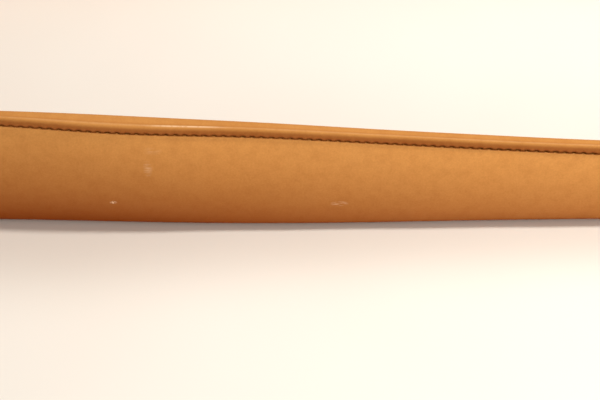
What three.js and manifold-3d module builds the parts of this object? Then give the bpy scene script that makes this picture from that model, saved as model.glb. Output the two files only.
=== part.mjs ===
// A leather money belt, unbuckled, standing on its folded lower edge as an open loop.
//
// Millimetres, +Z up. The origin is under the middle of the belt's bounding box, on the surface it
// stands on. The straight front side, with the zipped pocket, faces -Y. The belt runs from the buckle,
// at the back on the right, along the back, round the left-hand bend, along the front and round the
// right-hand bend to the tip of its tail, which stops short of the buckle.
//
// Two coordinates place a point of the belt: s, the distance along it from the widest point of its
// body, growing towards the tail, and n, the distance outwards from the loop's centreline.

import * as THREE from "three";
import { mergeVertices } from "three/addons/utils/BufferGeometryUtils.js";
import Module from "manifold-3d";

const wasm = await Module();
wasm.setup();

// ---------------------------------------------------------------- driving dimensions

const GAP = 0.3; // between pieces that touch

// The loop's centreline in plan: two straight sides and two half circles
const SIDE_LENGTH = 300;
const BEND_RADIUS = 75;
const WIDEST_X = -160; // the front side's x at s = 0

// The wide body and its taper
const BODY_HALF_LENGTH = 380;
const TAPER_HALF_LENGTH = 340; // past this the top edge runs level
const MIDDLE_HEIGHT = 49.4;
const END_HEIGHT = 32.6;
const END_LIFT = 2.4; // how far the lower edge has risen at the body's ends
const LIFT_START = 310;

// The body's section, as distances n from the centreline
const INNER_FACE = -3.0;
const LOW_FRONT = 3.2; // outer face at the fold
const HIGH_FRONT = 1.0; // outer face at the top edge
const CROWN = 1.9; // how far the outer face is domed at half height
const END_FRONT = 3.1; // outer face where a billet lies between the walls
const END_BLEND_START = 300;
const END_BLEND_LENGTH = 45;
const LOW_SWELL = { depth: 2.6, x: -10, spread: 75 }; // the filled pocket pushes the face out
const TOP_SWELL = { depth: 2.4, x: -60, spread: 36 };
const FRONT_LEATHER = 1.4;
const INNER_LEATHER = 1.3;
const BINDING_HEIGHT = 3.3;
const BINDING_OVERHANG = 0.1;
const THREAD_RADIUS = 0.35;
const THREAD_STAND = { out: 0.1, up: 0.15 }; // how far the seam's thread stands off the ditch

// The pocket between the walls
const POCKET_START = 30;
const POCKET_END = 290;
const STIFFENER = { thickness: 0.7, bottom: 4, top: 0.86 }; // top as a share of the height
const LINING = { thickness: 0.4, bottom: 2, innerFace: -0.6, innerTop: 13.9, top: 0.7 };

// The zip in the inner wall, about its own centreline
const ZIP_X = -4;
const ZIP_Z = 17.5;
const WINDOW = { length: 236, height: 11 };
const TAPE = { length: 248, near: 3, far: 9.5, thickness: 0.5, depth: 0.9 };
const TOOTH = { pitch: 3, width: 1.1, reach: 2.1, thickness: 1.7, depth: 0.3 };
const TEETH_LENGTH = 228;
const SPINE = { near: 1.5, far: 2.7 };
const WINDOW_STITCH = 7.4; // from the zip's centreline
const STOP = { length: 2.6, height: 5.2, depth: 2, clear: 0.4 };
const SLIDER_REST_X = 104; // from the zip's centre: the zip is closed
const SLIDER = {
  backX0: -5,
  sideX0: -3.5,
  sideX1: 3,
  noseX: 5,
  backZ: 3,
  sideZ: 4.2,
  noseZ: 2.4,
  flangeZ: 3.2,
  plate: 1.2,
  backPlate: 0.55,
};
// The bridge holds the pin high enough for the pull tab to pass over the leather round the window.
const BRIDGE = { length: 6, width: 2.4, eyeLength: 3, roof: 0.85, lift: 1 };
const PULLER = {
  pinRadius: 0.45,
  pinClear: 0.33,
  pinInset: 0.3,
  armNear: 1.7,
  halfWidth: 2.7,
  bladeX: -6,
  endX: -16,
  halfThickness: 0.4,
  eyeNear: 1.4,
  eyeFar: 4.5,
  eyeHalfWidth: 1.9,
};
const TAB = {
  width: 3.4,
  thickness: 0.7,
  endX: -38,
  turnX: -15.3,
  turnRadius: 1.25,
  turnAngle: 1.9,
  shoulderX: 1.5,
  shoulderY: 1.1,
  closedX: 3.1,
};

// The two billets, the narrow straps at the belt's ends
const BILLET_WIDTH = 25;
const BILLET_THICKNESS = 2.8;
const BILLET_Z = 17.5; // middle of their width
const FLEX_GAP = 3; // bare length between body and billet, where the strap bends
const ROOT_LENGTH = 28; // of each billet inside the body
const ROOT_TOP = 28.8;
const TAIL_END = 520;
const TIP_LENGTH = 14;
const TIP_HALF_WIDTH = 2;
const HOLE = { first: 405, pitch: 20, count: 5, radius: 2 };

// The buckle, about the middle of the back side
const BAR = { x: 119, n: -3.3, radius: 1.6, halfLength: 16.3 };
const FRAME = {
  endX: 145,
  halfHeight: 17.5,
  rail: 4,
  thickness: 3.4,
  heelX: 116,
  outerRound: 7,
  innerRound: 3.5,
  bossRadius: 3.2,
};
const PRONG = { width: 4.5, thickness: 1.8, wall: 1.5, beyond: 0.5 };
const PRONG_RISE = { rootX: 0.5, rootHeight: 2.5, highX: 6, highHeight: 2.2 }; // from the bar's centre
const PRONG_DROP = { x: 5, height: 0.6 }; // from the frame's end rail
const SLOT = { startX: 108, height: 6.4 };
const FOLD_BACK = { rampX: 107, endX: 72 };
const STRAIGHT_TO_X = 60;
const SCREW_X = [101, 79];
const SCREW = { headRadius: 4.5, headHeight: 1.3, barrelRadius: 2.2, bore: 1.5, stub: 1.15 };
const KEEPER = { width: 10, wall: 1.8, clear: 0.4, tailRoom: 3.9 };
const FIXED_KEEPER_X = 90;
const SLIDING_KEEPER_X = 57;

const SINK = 0.2; // how far one part of a joined solid is sunk into another
const BEYOND = 1; // how far a cutting tool reaches past what it cuts

// ---------------------------------------------------------------- materials

const leather = new THREE.MeshStandardMaterial({ color: 0xc2834a, roughness: 0.55, metalness: 0 });
const edgeLeather = new THREE.MeshStandardMaterial({ color: 0xcf9156, roughness: 0.5, metalness: 0 });
const thread = new THREE.MeshStandardMaterial({ color: 0x8a4f20, roughness: 0.8, metalness: 0 });
const board = new THREE.MeshStandardMaterial({ color: 0x9c8468, roughness: 0.9, metalness: 0 });
const cloth = new THREE.MeshStandardMaterial({ color: 0xb59a76, roughness: 0.95, metalness: 0 });
const tapeCloth = new THREE.MeshStandardMaterial({ color: 0x96602f, roughness: 0.9, metalness: 0 });
const brass = new THREE.MeshStandardMaterial({ color: 0xb08d57, roughness: 0.3, metalness: 1 });

// ---------------------------------------------------------------- the loop and the body's shape

const BEND_LENGTH = Math.PI * BEND_RADIUS;
const FRONT_START = -SIDE_LENGTH / 2 - WIDEST_X; // s where the front side begins
const FRONT_END = FRONT_START + SIDE_LENGTH;
const BACK_END = FRONT_START - BEND_LENGTH; // s where the back side ends

// The centreline's place at s, and its outward direction there.
function loopAt(s) {
  if (s > FRONT_END) {
    const angle = -Math.PI / 2 + (s - FRONT_END) / BEND_RADIUS;
    return bendAt(SIDE_LENGTH / 2, angle);
  }
  if (s >= FRONT_START) {
    return { x: s + WIDEST_X, y: -BEND_RADIUS, outX: 0, outY: -1 };
  }
  if (s > BACK_END) {
    const angle = -Math.PI / 2 - (FRONT_START - s) / BEND_RADIUS;
    return bendAt(-SIDE_LENGTH / 2, angle);
  }
  return { x: backX(s), y: BEND_RADIUS, outX: 0, outY: 1 };
}

function bendAt(centreX, angle) {
  const outX = Math.cos(angle);
  const outY = Math.sin(angle);
  return { x: centreX + BEND_RADIUS * outX, y: BEND_RADIUS * outY, outX, outY };
}

// The x of a point of the back side, which runs from the left-hand bend to the buckle.
function backX(s) {
  return -SIDE_LENGTH / 2 + BACK_END - s;
}

function ordered(a, b) {
  return [Math.min(a, b), Math.max(a, b)];
}

function smoothStep(t) {
  const c = Math.min(1, Math.max(0, t));
  return c * c * (3 - 2 * c);
}

function bell(x, swell) {
  return swell.depth * Math.exp(-(((x - swell.x) / swell.spread) ** 2));
}

function topAt(s) {
  const t = Math.min(Math.abs(s), TAPER_HALF_LENGTH) / TAPER_HALF_LENGTH;
  return END_HEIGHT + (MIDDLE_HEIGHT - END_HEIGHT) * (0.5 + 0.5 * Math.cos(Math.PI * t));
}

function bottomAt(s) {
  return END_LIFT * smoothStep((Math.abs(s) - LIFT_START) / (BODY_HALF_LENGTH - LIFT_START));
}

// How far out the body's outer face lies.
function frontFace(s, z) {
  const x = s + WIDEST_X;
  const share = (z - bottomAt(s)) / (topAt(s) - bottomAt(s));
  const low = LOW_FRONT + bell(x, LOW_SWELL);
  const high = HIGH_FRONT + bell(x, TOP_SWELL);
  const domed = low * (1 - share) + high * share + CROWN * 4 * share * (1 - share);
  const blend = smoothStep((Math.abs(s) - END_BLEND_START) / END_BLEND_LENGTH);
  return domed * (1 - blend) + END_FRONT * blend;
}

function evenly(from, to, count) {
  return Array.from({ length: count + 1 }, (_, i) => from + ((to - from) * i) / count);
}

// Every piece of the body is drawn between the same stations, so the gaps between them hold.
const STATIONS = [
  ...evenly(-BODY_HALF_LENGTH, BACK_END, 10),
  ...evenly(BACK_END, FRONT_START, 18).slice(1),
  ...evenly(FRONT_START, FRONT_END, 15).slice(1),
  ...evenly(FRONT_END, BODY_HALF_LENGTH, 6).slice(1),
];

function stationsBetween(from, to) {
  const inside = STATIONS.filter((s) => s > from + 1 && s < to - 1);
  return [from, ...inside, to];
}

// ---------------------------------------------------------------- making solids

// A closed body whose section at each station is an outline of [n, z] points.
function loft(stations, outlineAt) {
  const outlines = stations.map((s) => outlineAt(s).map(([n, z]) => new THREE.Vector2(n, z)));
  if (THREE.ShapeUtils.isClockWise(outlines[0])) {
    outlines.forEach((outline) => outline.reverse());
  }
  const count = outlines[0].length;
  const positions = [];
  stations.forEach((s, i) => {
    const at = loopAt(s);
    outlines[i].forEach((p) => positions.push(at.x + at.outX * p.x, at.y + at.outY * p.x, p.y));
  });
  const index = [];
  for (let i = 0; i + 1 < stations.length; i++) {
    for (let j = 0; j < count; j++) {
      const a = i * count + j;
      const b = i * count + ((j + 1) % count);
      index.push(a, a + count, b + count);
      index.push(a, b + count, b);
    }
  }
  const last = (stations.length - 1) * count;
  const startCap = THREE.ShapeUtils.triangulateShape(outlines[0], []);
  startCap.forEach(([a, b, c]) => index.push(a, b, c));
  const endCap = THREE.ShapeUtils.triangulateShape(outlines.at(-1), []);
  endCap.forEach(([a, b, c]) => index.push(last + a, last + c, last + b));
  const geometry = new THREE.BufferGeometry();
  geometry.setAttribute("position", new THREE.Float32BufferAttribute(positions, 3));
  geometry.setIndex(index);
  geometry.computeVertexNormals();
  return geometry;
}

function solidOf(geometry) {
  const bare = geometry.clone();
  bare.deleteAttribute("normal");
  bare.deleteAttribute("uv");
  const merged = mergeVertices(bare, 1e-4);
  const mesh = new wasm.Mesh({
    numProp: 3,
    vertProperties: merged.getAttribute("position").array,
    triVerts: new Uint32Array(merged.index.array),
  });
  return new wasm.Manifold(mesh);
}

function geometryOf(solid) {
  const mesh = solid.getMesh();
  const geometry = new THREE.BufferGeometry();
  geometry.setAttribute("position", new THREE.BufferAttribute(mesh.vertProperties, 3));
  geometry.setIndex(new THREE.BufferAttribute(mesh.triVerts, 1));
  geometry.computeVertexNormals();
  return geometry;
}

function cut(geometry, ...tools) {
  return geometryOf(tools.reduce((solid, tool) => solid.subtract(solidOf(tool)), solidOf(geometry)));
}

function join(geometry, ...others) {
  return geometryOf(others.reduce((solid, other) => solid.add(solidOf(other)), solidOf(geometry)));
}

// A box between two corners.
function box(x0, x1, y0, y1, z0, z1) {
  const geometry = new THREE.BoxGeometry(x1 - x0, y1 - y0, z1 - z0);
  return geometry.translate((x0 + x1) / 2, (y0 + y1) / 2, (z0 + z1) / 2);
}

// A cylinder standing along Z.
function upright(radius, z0, z1, sides = 16) {
  const geometry = new THREE.CylinderGeometry(radius, radius, z1 - z0, sides);
  return geometry.rotateX(Math.PI / 2).translate(0, 0, (z0 + z1) / 2);
}

// A cylinder along Y.
function crosswise(radius, y0, y1, sides = 16) {
  const geometry = new THREE.CylinderGeometry(radius, radius, y1 - y0, sides);
  return geometry.translate(0, (y0 + y1) / 2, 0);
}

// A plan outline of [x, y] points, extruded upwards.
function plate(points, z0, z1) {
  const shape = new THREE.Shape(points.map(([x, y]) => new THREE.Vector2(x, y)));
  const geometry = new THREE.ExtrudeGeometry(shape, { depth: z1 - z0, bevelEnabled: false });
  return geometry.translate(0, 0, z0);
}

// An outline of [x, z] points that stands upright, from y0 to y1.
function panel(points, y0, y1) {
  return plate(points, -y1, -y0).rotateX(Math.PI / 2);
}

// The plan outline of a strap of even thickness that follows a line of [x, y] points.
function strapOutline(line, thickness) {
  const left = [];
  const right = [];
  line.forEach((point, i) => {
    const before = line[Math.max(0, i - 1)];
    const after = line[Math.min(line.length - 1, i + 1)];
    const length = Math.hypot(after[0] - before[0], after[1] - before[1]);
    const acrossX = (-(after[1] - before[1]) / length) * (thickness / 2);
    const acrossY = ((after[0] - before[0]) / length) * (thickness / 2);
    left.push([point[0] + acrossX, point[1] + acrossY]);
    right.push([point[0] - acrossX, point[1] - acrossY]);
  });
  return [...left, ...right.reverse()];
}

function arc(centreX, centreY, radius, from, to, count) {
  return evenly(from, to, count).map((angle) => [
    centreX + radius * Math.cos(angle),
    centreY + radius * Math.sin(angle),
  ]);
}

// ---------------------------------------------------------------- the scene graph

const belt = new THREE.Group();
const body = new THREE.Group();
const zip = new THREE.Group();
const buckleEnd = new THREE.Group();
const tailEnd = new THREE.Group();
belt.add(body, zip, buckleEnd, tailEnd);
zip.position.set(ZIP_X, -BEND_RADIUS, ZIP_Z); // here +Y points into the loop
buckleEnd.position.set(0, BEND_RADIUS, BILLET_Z); // here +Y points out of the loop

function add(group, name, geometry, material) {
  const mesh = new THREE.Mesh(geometry, material);
  mesh.name = name;
  group.add(mesh);
  return mesh;
}

// ---------------------------------------------------------------- the body

// One piece of leather: outer wall, rounded fold along the bottom, inner wall.
function shellOutline(s) {
  const low = bottomAt(s);
  const high = topAt(s) - BINDING_HEIGHT - GAP;
  const corner = 0.9; // leaves room for the seam's thread
  const outerRound = 2.4;
  const outerBevel = 0.7;
  const innerRound = 2;
  const innerBevel = 0.6;
  const inset = 0.2; // keeps the leather's thickness round the fold
  const face = (z) => frontFace(s, z);
  const foldFace = face(low + outerRound);
  const outerLevels = evenly(high - corner, low + outerRound, 6);
  const innerLevels = evenly(low + outerRound + inset, high, 6);
  const floor = low + FRONT_LEATHER;
  return [
    [face(high) - corner, high],
    ...outerLevels.map((z) => [face(z), z]),
    [foldFace - outerBevel, low + outerBevel],
    [foldFace - outerRound, low],
    [INNER_FACE + innerRound, low],
    [INNER_FACE + innerBevel, low + innerBevel],
    [INNER_FACE, low + innerRound],
    [INNER_FACE, high],
    [INNER_FACE + INNER_LEATHER, high],
    [INNER_FACE + INNER_LEATHER, low + innerRound + inset],
    [INNER_FACE + innerRound - inset, floor],
    [foldFace - outerRound, floor],
    ...innerLevels.map((z) => [face(z) - FRONT_LEATHER, z]),
  ];
}

// The strip rolled over the top edges of both walls.
function bindingOutline(s) {
  const top = topAt(s);
  const low = top - BINDING_HEIGHT;
  const front = frontFace(s, low - GAP) + BINDING_OVERHANG;
  const underside = 1.2;
  const backRound = 1.5;
  const frontRound = 1.7;
  const bevel = 0.5;
  const beadTop = 1.4;
  const beadBottom = 2.4;
  return [
    [front - underside, low],
    [INNER_FACE + SINK, low],
    [INNER_FACE, top - backRound],
    [INNER_FACE + bevel, top - bevel],
    [INNER_FACE + backRound, top],
    [front - frontRound, top],
    [front - bevel, top - bevel],
    [front, top - beadTop],
    [front, top - beadBottom],
  ];
}

function seamThreadOutline(s) {
  const level = topAt(s) - BINDING_HEIGHT - GAP;
  const n = frontFace(s, level) + THREAD_STAND.out;
  return arc(n, level + THREAD_STAND.up, THREAD_RADIUS, 0, 2 * Math.PI, 6).slice(0, 6);
}

function stiffenerOutline(s) {
  const outer = (z) => frontFace(s, z) - FRONT_LEATHER - GAP;
  const levels = evenly(STIFFENER.bottom, topAt(s) * STIFFENER.top, 5);
  const outside = levels.map((z) => [outer(z), z]);
  const inside = levels.map((z) => [outer(z) - STIFFENER.thickness, z]);
  return [...outside, ...inside.reverse()];
}

// The cloth pocket, folded at the bottom and open at the zip.
function liningOutline(s) {
  const outer = (z) => frontFace(s, z) - FRONT_LEATHER - STIFFENER.thickness - 2 * GAP;
  const levels = evenly(LINING.bottom + 1.2, topAt(s) * LINING.top, 5);
  const inner = LINING.innerFace + LINING.thickness;
  const floor = LINING.bottom + LINING.thickness;
  return [
    [LINING.innerFace, LINING.innerTop],
    [LINING.innerFace, LINING.bottom],
    [outer(LINING.bottom), LINING.bottom],
    ...levels.map((z) => [outer(z), z]),
    ...levels.reverse().map((z) => [outer(z) - LINING.thickness, z]),
    [outer(floor) - LINING.thickness, floor],
    [inner, floor],
    [inner, LINING.innerTop],
  ];
}

function addBody() {
  const whole = stationsBetween(-BODY_HALF_LENGTH, BODY_HALF_LENGTH);
  const pocket = stationsBetween(POCKET_START, POCKET_END);
  const zipWindow = box(
    ZIP_X - WINDOW.length / 2,
    ZIP_X + WINDOW.length / 2,
    -BEND_RADIUS - INNER_FACE - INNER_LEATHER - SINK,
    -BEND_RADIUS - INNER_FACE + BEYOND,
    ZIP_Z - WINDOW.height / 2,
    ZIP_Z + WINDOW.height / 2,
  );
  add(body, "body_shell", cut(loft(whole, shellOutline), zipWindow), leather);
  add(body, "top_binding", loft(whole, bindingOutline), edgeLeather);
  add(body, "top_seam_thread", loft(whole, seamThreadOutline), thread);
  add(body, "front_stiffener", loft(pocket, stiffenerOutline), board);
  add(body, "pocket_lining", loft(pocket, liningOutline), cloth);
}

// ---------------------------------------------------------------- the zip

// One side's teeth on their bead. side is 1 above the centreline and -1 below it.
function teeth(side) {
  const y0 = TOOTH.depth;
  const y1 = TOOTH.depth + TOOTH.thickness;
  const half = TEETH_LENGTH / 2;
  const rail = box(-half, half, y0, y1, ...ordered(SPINE.near * side, SPINE.far * side));
  const endClear = 0.8;
  const first = -half + endClear + (side > 0 ? 0 : TOOTH.pitch / 2);
  const rooted = SPINE.near + SINK; // each tooth starts a little inside the bead
  const z = ordered(rooted * side, (SPINE.near - TOOTH.reach) * side);
  const teethBoxes = [];
  for (let x = first; x + TOOTH.width < half; x += TOOTH.pitch) {
    teethBoxes.push(box(x, x + TOOTH.width, y0, y1, ...z));
  }
  return join(rail, ...teethBoxes);
}

function addZip() {
  for (const [label, side] of [["upper", 1], ["lower", -1]]) {
    const half = TAPE.length / 2;
    const edges = ordered(TAPE.near * side, TAPE.far * side);
    const tape = box(-half, half, TAPE.depth, TAPE.depth + TAPE.thickness, ...edges);
    add(zip, `zip_tape_${label}`, tape, tapeCloth);
    add(zip, `zip_teeth_${label}`, teeth(side), brass);
    const stitch = new THREE.CylinderGeometry(THREAD_RADIUS, THREAD_RADIUS, WINDOW.length, 6);
    stitch.rotateZ(Math.PI / 2);
    const row = add(zip, `zip_thread_${label}`, stitch, thread);
    row.position.set(0, -INNER_FACE + GAP + THREAD_RADIUS, WINDOW_STITCH * side);
  }
  const stop = () => {
    const geometry = new THREE.BoxGeometry(STOP.length, STOP.depth, STOP.height);
    return geometry.translate(0, TOOTH.depth + STOP.depth / 2, 0);
  };
  const stopX = TEETH_LENGTH / 2 + STOP.clear + STOP.length / 2;
  add(zip, "zip_closed_end_stop", stop(), brass).position.x = stopX;
  add(zip, "zip_open_end_stop", stop(), brass).position.x = -stopX;
}

function addSlider() {
  const slider = new THREE.Group();
  slider.position.x = SLIDER_REST_X;
  zip.add(slider);
  const plateLow = TOOTH.depth + TOOTH.thickness + GAP;
  const plateHigh = plateLow + SLIDER.plate;
  const eyeTop = plateHigh + 2 * (PULLER.pinRadius + PULLER.pinClear) + BRIDGE.lift;
  const pinY = eyeTop - PULLER.pinRadius - PULLER.pinClear;
  const { backX0, sideX0, sideX1, noseX, backZ, sideZ, noseZ } = SLIDER;
  const upper = [[backX0, backZ], [sideX0, sideZ], [sideX1, sideZ], [noseX, noseZ]];
  const lower = upper.map(([x, z]) => [x, -z]);
  const outline = [...lower, ...upper.reverse()];
  const top = panel(outline, plateLow, plateHigh);
  const flanges = [1, -1].map((side) => {
    const z = ordered(SLIDER.flangeZ * side, sideZ * side);
    return box(sideX0, sideX1, TAPE.depth + TAPE.thickness + GAP, plateHigh - SINK, ...z);
  });
  const halfBridge = BRIDGE.length / 2;
  const halfEye = BRIDGE.eyeLength / 2;
  const wide = BRIDGE.width / 2;
  const bridge = box(-halfBridge, halfBridge, plateHigh - SINK, eyeTop + BRIDGE.roof, -wide, wide);
  const eye = box(-halfEye, halfEye, plateHigh, eyeTop, -wide - BEYOND, wide + BEYOND);
  add(slider, "zip_slider_body", cut(join(top, ...flanges, bridge), eye), brass);
  add(slider, "zip_slider_back_plate", panel(outline, -SLIDER.backPlate, 0), brass);

  // The puller turns on a pin through the slider's bridge, and lies back along the closed teeth.
  const puller = new THREE.Group();
  puller.position.y = pinY;
  slider.add(puller);
  const { pinRadius, pinInset, armNear, halfWidth, bladeX, endX, halfThickness } = PULLER;
  const { eyeNear, eyeFar, eyeHalfWidth } = PULLER;
  const pin = upright(pinRadius, -halfWidth + pinInset, halfWidth - pinInset, 10);
  const arms = [1, -1].map((side) => {
    const z = ordered(armNear * side, halfWidth * side);
    return box(bladeX - SINK, pinRadius, -halfThickness, halfThickness, ...z);
  });
  const blade = box(endX, bladeX, -halfThickness, halfThickness, -halfWidth, halfWidth);
  const tabEye = box(endX + eyeNear, endX + eyeFar, -BEYOND, BEYOND, -eyeHalfWidth, eyeHalfWidth);
  add(puller, "zip_puller", cut(join(blade, pin, ...arms), tabEye), brass);
  add(puller, "zip_pull_tab", pullTab(), leather);
}

// The leather tab passes through the puller's eye and back along itself.
function pullTab() {
  const { width, thickness, endX, turnX, turnRadius, turnAngle, shoulderX, shoulderY, closedX } = TAB;
  const apart = thickness / 2 + GAP / 2;
  const line = [
    [endX, apart],
    [turnX - closedX, apart],
    [turnX - shoulderX, shoulderY],
    ...arc(turnX, 0, turnRadius, turnAngle, -turnAngle, 8),
    [turnX - shoulderX, -shoulderY],
    [turnX - closedX, -apart],
    [endX, -apart],
  ];
  return plate(strapOutline(line, thickness), -width / 2, width / 2);
}

// ---------------------------------------------------------------- the two billets

function addRoots() {
  const outline = () => {
    const half = BILLET_THICKNESS / 2;
    const low = BILLET_Z - BILLET_WIDTH / 2;
    return [[half, low], [half, ROOT_TOP], [-half, ROOT_TOP], [-half, low]];
  };
  const inner = BODY_HALF_LENGTH - ROOT_LENGTH;
  const tailRoot = loft(stationsBetween(inner, BODY_HALF_LENGTH), outline);
  const buckleRoot = loft(stationsBetween(-BODY_HALF_LENGTH, -inner), outline);
  add(body, "tail_billet_root", tailRoot, leather);
  add(body, "buckle_billet_root", buckleRoot, leather);
}

function addTail() {
  const start = BODY_HALF_LENGTH + FLEX_GAP;
  const low = BILLET_Z - BILLET_WIDTH / 2;
  const high = BILLET_Z + BILLET_WIDTH / 2;
  const half = BILLET_THICKNESS / 2;
  const stations = evenly(start, TAIL_END, 12);
  const strap = loft(stations, () => [[half, low], [half, high], [-half, high], [-half, low]]);
  const tools = [];
  const faceOut = (geometry, s) => {
    const at = loopAt(s);
    geometry.rotateZ(Math.atan2(at.outY, at.outX) - Math.PI / 2);
    return geometry.translate(at.x, at.y, BILLET_Z);
  };
  for (let i = 0; i < HOLE.count; i++) {
    const drill = crosswise(HOLE.radius, -half - BEYOND, half + BEYOND, 12);
    tools.push(faceOut(drill, HOLE.first + i * HOLE.pitch));
  }
  // Each corner of the tip is cut off by a wedge. Turned to face out, +X points back along the strap.
  for (const side of [1, -1]) {
    const edge = (BILLET_WIDTH / 2) * side;
    const clear = edge * 1.5;
    const end = -3 * BEYOND;
    const corners = [[TIP_LENGTH, edge], [end, TIP_HALF_WIDTH * side], [end, clear], [TIP_LENGTH, clear]];
    tools.push(faceOut(panel(corners, -BILLET_WIDTH / 4, BILLET_WIDTH / 4), TAIL_END));
  }
  add(tailEnd, "tail_billet", cut(strap, ...tools), leather);
}

// The strap runs to the bar, turns round it and comes back along the inside.
function buckleBillet() {
  const startX = backX(-BODY_HALF_LENGTH - FLEX_GAP);
  const layer = BILLET_THICKNESS + GAP;
  const line = [
    [startX, 0],
    [STRAIGHT_TO_X, 0],
    ...arc(BAR.x, BAR.n, -BAR.n, Math.PI / 2, -Math.PI / 2, 10),
    [FOLD_BACK.rampX + 2, -layer - 0.4],
    [FOLD_BACK.rampX - 3, -layer],
    [FOLD_BACK.endX, -layer],
  ];
  const half = BILLET_WIDTH / 2;
  const strap = plate(strapOutline(line, BILLET_THICKNESS), -half, half);
  const through = [BAR.n * 2 - BILLET_THICKNESS, BILLET_THICKNESS];
  const slotEnd = BAR.x - BAR.n + BILLET_THICKNESS;
  const slot = box(SLOT.startX, slotEnd, ...through, -SLOT.height / 2, SLOT.height / 2);
  const holes = SCREW_X.map((x) => crosswise(SCREW.barrelRadius + GAP, ...through).translate(x, 0, 0));
  return cut(strap, slot, ...holes);
}

// A leather loop round the strap, with room for the tail on its outside.
function keeper(innerFace) {
  const low = innerFace - GAP;
  const high = BILLET_THICKNESS / 2 + KEEPER.tailRoom;
  const half = BILLET_WIDTH / 2 + KEEPER.clear;
  const wall = KEEPER.wall;
  const rounded = (n0, n1, z, radius) => [
    ...arc(n1 - radius, z - radius, radius, 0, Math.PI / 2, 3),
    ...arc(n0 + radius, z - radius, radius, Math.PI / 2, Math.PI, 3),
    ...arc(n0 + radius, -z + radius, radius, Math.PI, 1.5 * Math.PI, 3),
    ...arc(n1 - radius, -z + radius, radius, 1.5 * Math.PI, 2 * Math.PI, 3),
  ];
  const points = (list) => list.map(([n, z]) => new THREE.Vector2(n, z));
  const shape = new THREE.Shape(points(rounded(low - wall, high + wall, half + wall, 2.2)));
  shape.holes.push(new THREE.Path(points(rounded(low, high, half, 0.5))));
  const geometry = new THREE.ExtrudeGeometry(shape, { depth: KEEPER.width, bevelEnabled: false });
  const across = new THREE.Vector3(1, 0, 0);
  const basis = new THREE.Matrix4();
  basis.makeBasis(new THREE.Vector3(0, 1, 0), new THREE.Vector3(0, 0, 1), across);
  return geometry.applyMatrix4(basis).translate(-KEEPER.width / 2, 0, 0);
}

function addScrew(x, number) {
  const outer = BILLET_THICKNESS / 2;
  const inner = -BILLET_THICKNESS * 1.5 - GAP;
  const head = crosswise(SCREW.headRadius, outer + GAP, outer + GAP + SCREW.headHeight);
  const barrel = crosswise(SCREW.barrelRadius, inner, outer + GAP + SINK, 12);
  const bore = crosswise(SCREW.bore, inner - BEYOND, outer - BEYOND, 12);
  add(buckleEnd, `screw_post_${number}`, cut(join(head, barrel), bore), brass).position.x = x;
  const cap = crosswise(SCREW.headRadius, inner - GAP - SCREW.headHeight, inner - GAP);
  const stub = crosswise(SCREW.stub, inner - GAP - SINK, outer - 2 * BEYOND, 12);
  add(buckleEnd, `screw_cap_${number}`, join(cap, stub), brass).position.x = x;
}

// ---------------------------------------------------------------- the buckle

// Three sides of a rounded rectangle; the bar closes the fourth.
function buckleFrame() {
  const { endX, halfHeight, rail, thickness, heelX, outerRound, innerRound } = FRAME;
  const inX = endX - rail;
  const inZ = halfHeight - rail;
  const quarter = Math.PI / 2;
  const outline = [
    [heelX, -halfHeight],
    ...arc(endX - outerRound, -halfHeight + outerRound, outerRound, -quarter, 0, 5),
    ...arc(endX - outerRound, halfHeight - outerRound, outerRound, 0, quarter, 5),
    [heelX, halfHeight],
    [heelX, inZ],
    ...arc(inX - innerRound, inZ - innerRound, innerRound, quarter, 0, 4),
    ...arc(inX - innerRound, -inZ + innerRound, innerRound, 0, -quarter, 4),
    [heelX, -inZ],
  ];
  return panel(outline, BAR.n - thickness / 2, BAR.n + thickness / 2);
}

function addBuckle() {
  const barHole = upright(BAR.radius + GAP, -BAR.halfLength - GAP, BAR.halfLength + GAP);
  barHole.translate(BAR.x, BAR.n, 0);
  const bosses = [1, -1].map((side) => {
    const z = ordered(FRAME.halfHeight * side, (FRAME.halfHeight - FRAME.rail) * side);
    return upright(FRAME.bossRadius, ...z).translate(BAR.x, BAR.n, 0);
  });
  add(buckleEnd, "buckle_frame", cut(join(buckleFrame(), ...bosses), barHole), brass);
  const bar = upright(BAR.radius, -BAR.halfLength, BAR.halfLength).translate(BAR.x, BAR.n, 0);
  add(buckleEnd, "buckle_bar", bar, brass);

  // The prong's eye turns on the bar and its arm lies over the end of the frame.
  const half = PRONG.width / 2;
  const eye = upright(BAR.radius + GAP + PRONG.wall, -half, half, 20).translate(BAR.x, BAR.n, 0);
  const bore = upright(BAR.radius + GAP, -half - BEYOND, half + BEYOND, 20).translate(BAR.x, BAR.n, 0);
  const railTop = BAR.n + FRAME.thickness / 2 + GAP;
  const line = [
    [BAR.x + PRONG_RISE.rootX, BAR.n + PRONG_RISE.rootHeight],
    [BAR.x + PRONG_RISE.highX, BAR.n + PRONG_RISE.highHeight],
    [FRAME.endX - FRAME.rail - PRONG_DROP.x, railTop + PRONG_DROP.height],
    [FRAME.endX - FRAME.rail, railTop + PRONG.thickness / 2],
    [FRAME.endX + PRONG.beyond, railTop + PRONG.thickness / 2],
  ];
  const arm = plate(strapOutline(line, PRONG.thickness), -half, half);
  add(buckleEnd, "buckle_prong", cut(join(eye, arm), bore), brass);
}

function addBuckleEnd() {
  add(buckleEnd, "buckle_billet", buckleBillet(), leather);
  SCREW_X.forEach((x, i) => addScrew(x, i + 1));
  const foldedFace = -BILLET_THICKNESS * 1.5 - GAP;
  const plainFace = -BILLET_THICKNESS / 2;
  add(buckleEnd, "fixed_keeper", keeper(foldedFace), leather).position.x = FIXED_KEEPER_X;
  add(buckleEnd, "sliding_keeper", keeper(plainFace), leather).position.x = SLIDING_KEEPER_X;
  addBuckle();
}

addBody();
addZip();
addSlider();
addRoots();
addTail();
addBuckleEnd();

// The origin goes under the middle of the whole belt.
const middle = new THREE.Box3().setFromObject(belt).getCenter(new THREE.Vector3());
belt.position.set(-middle.x, -middle.y, 0);

export default belt;
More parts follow.
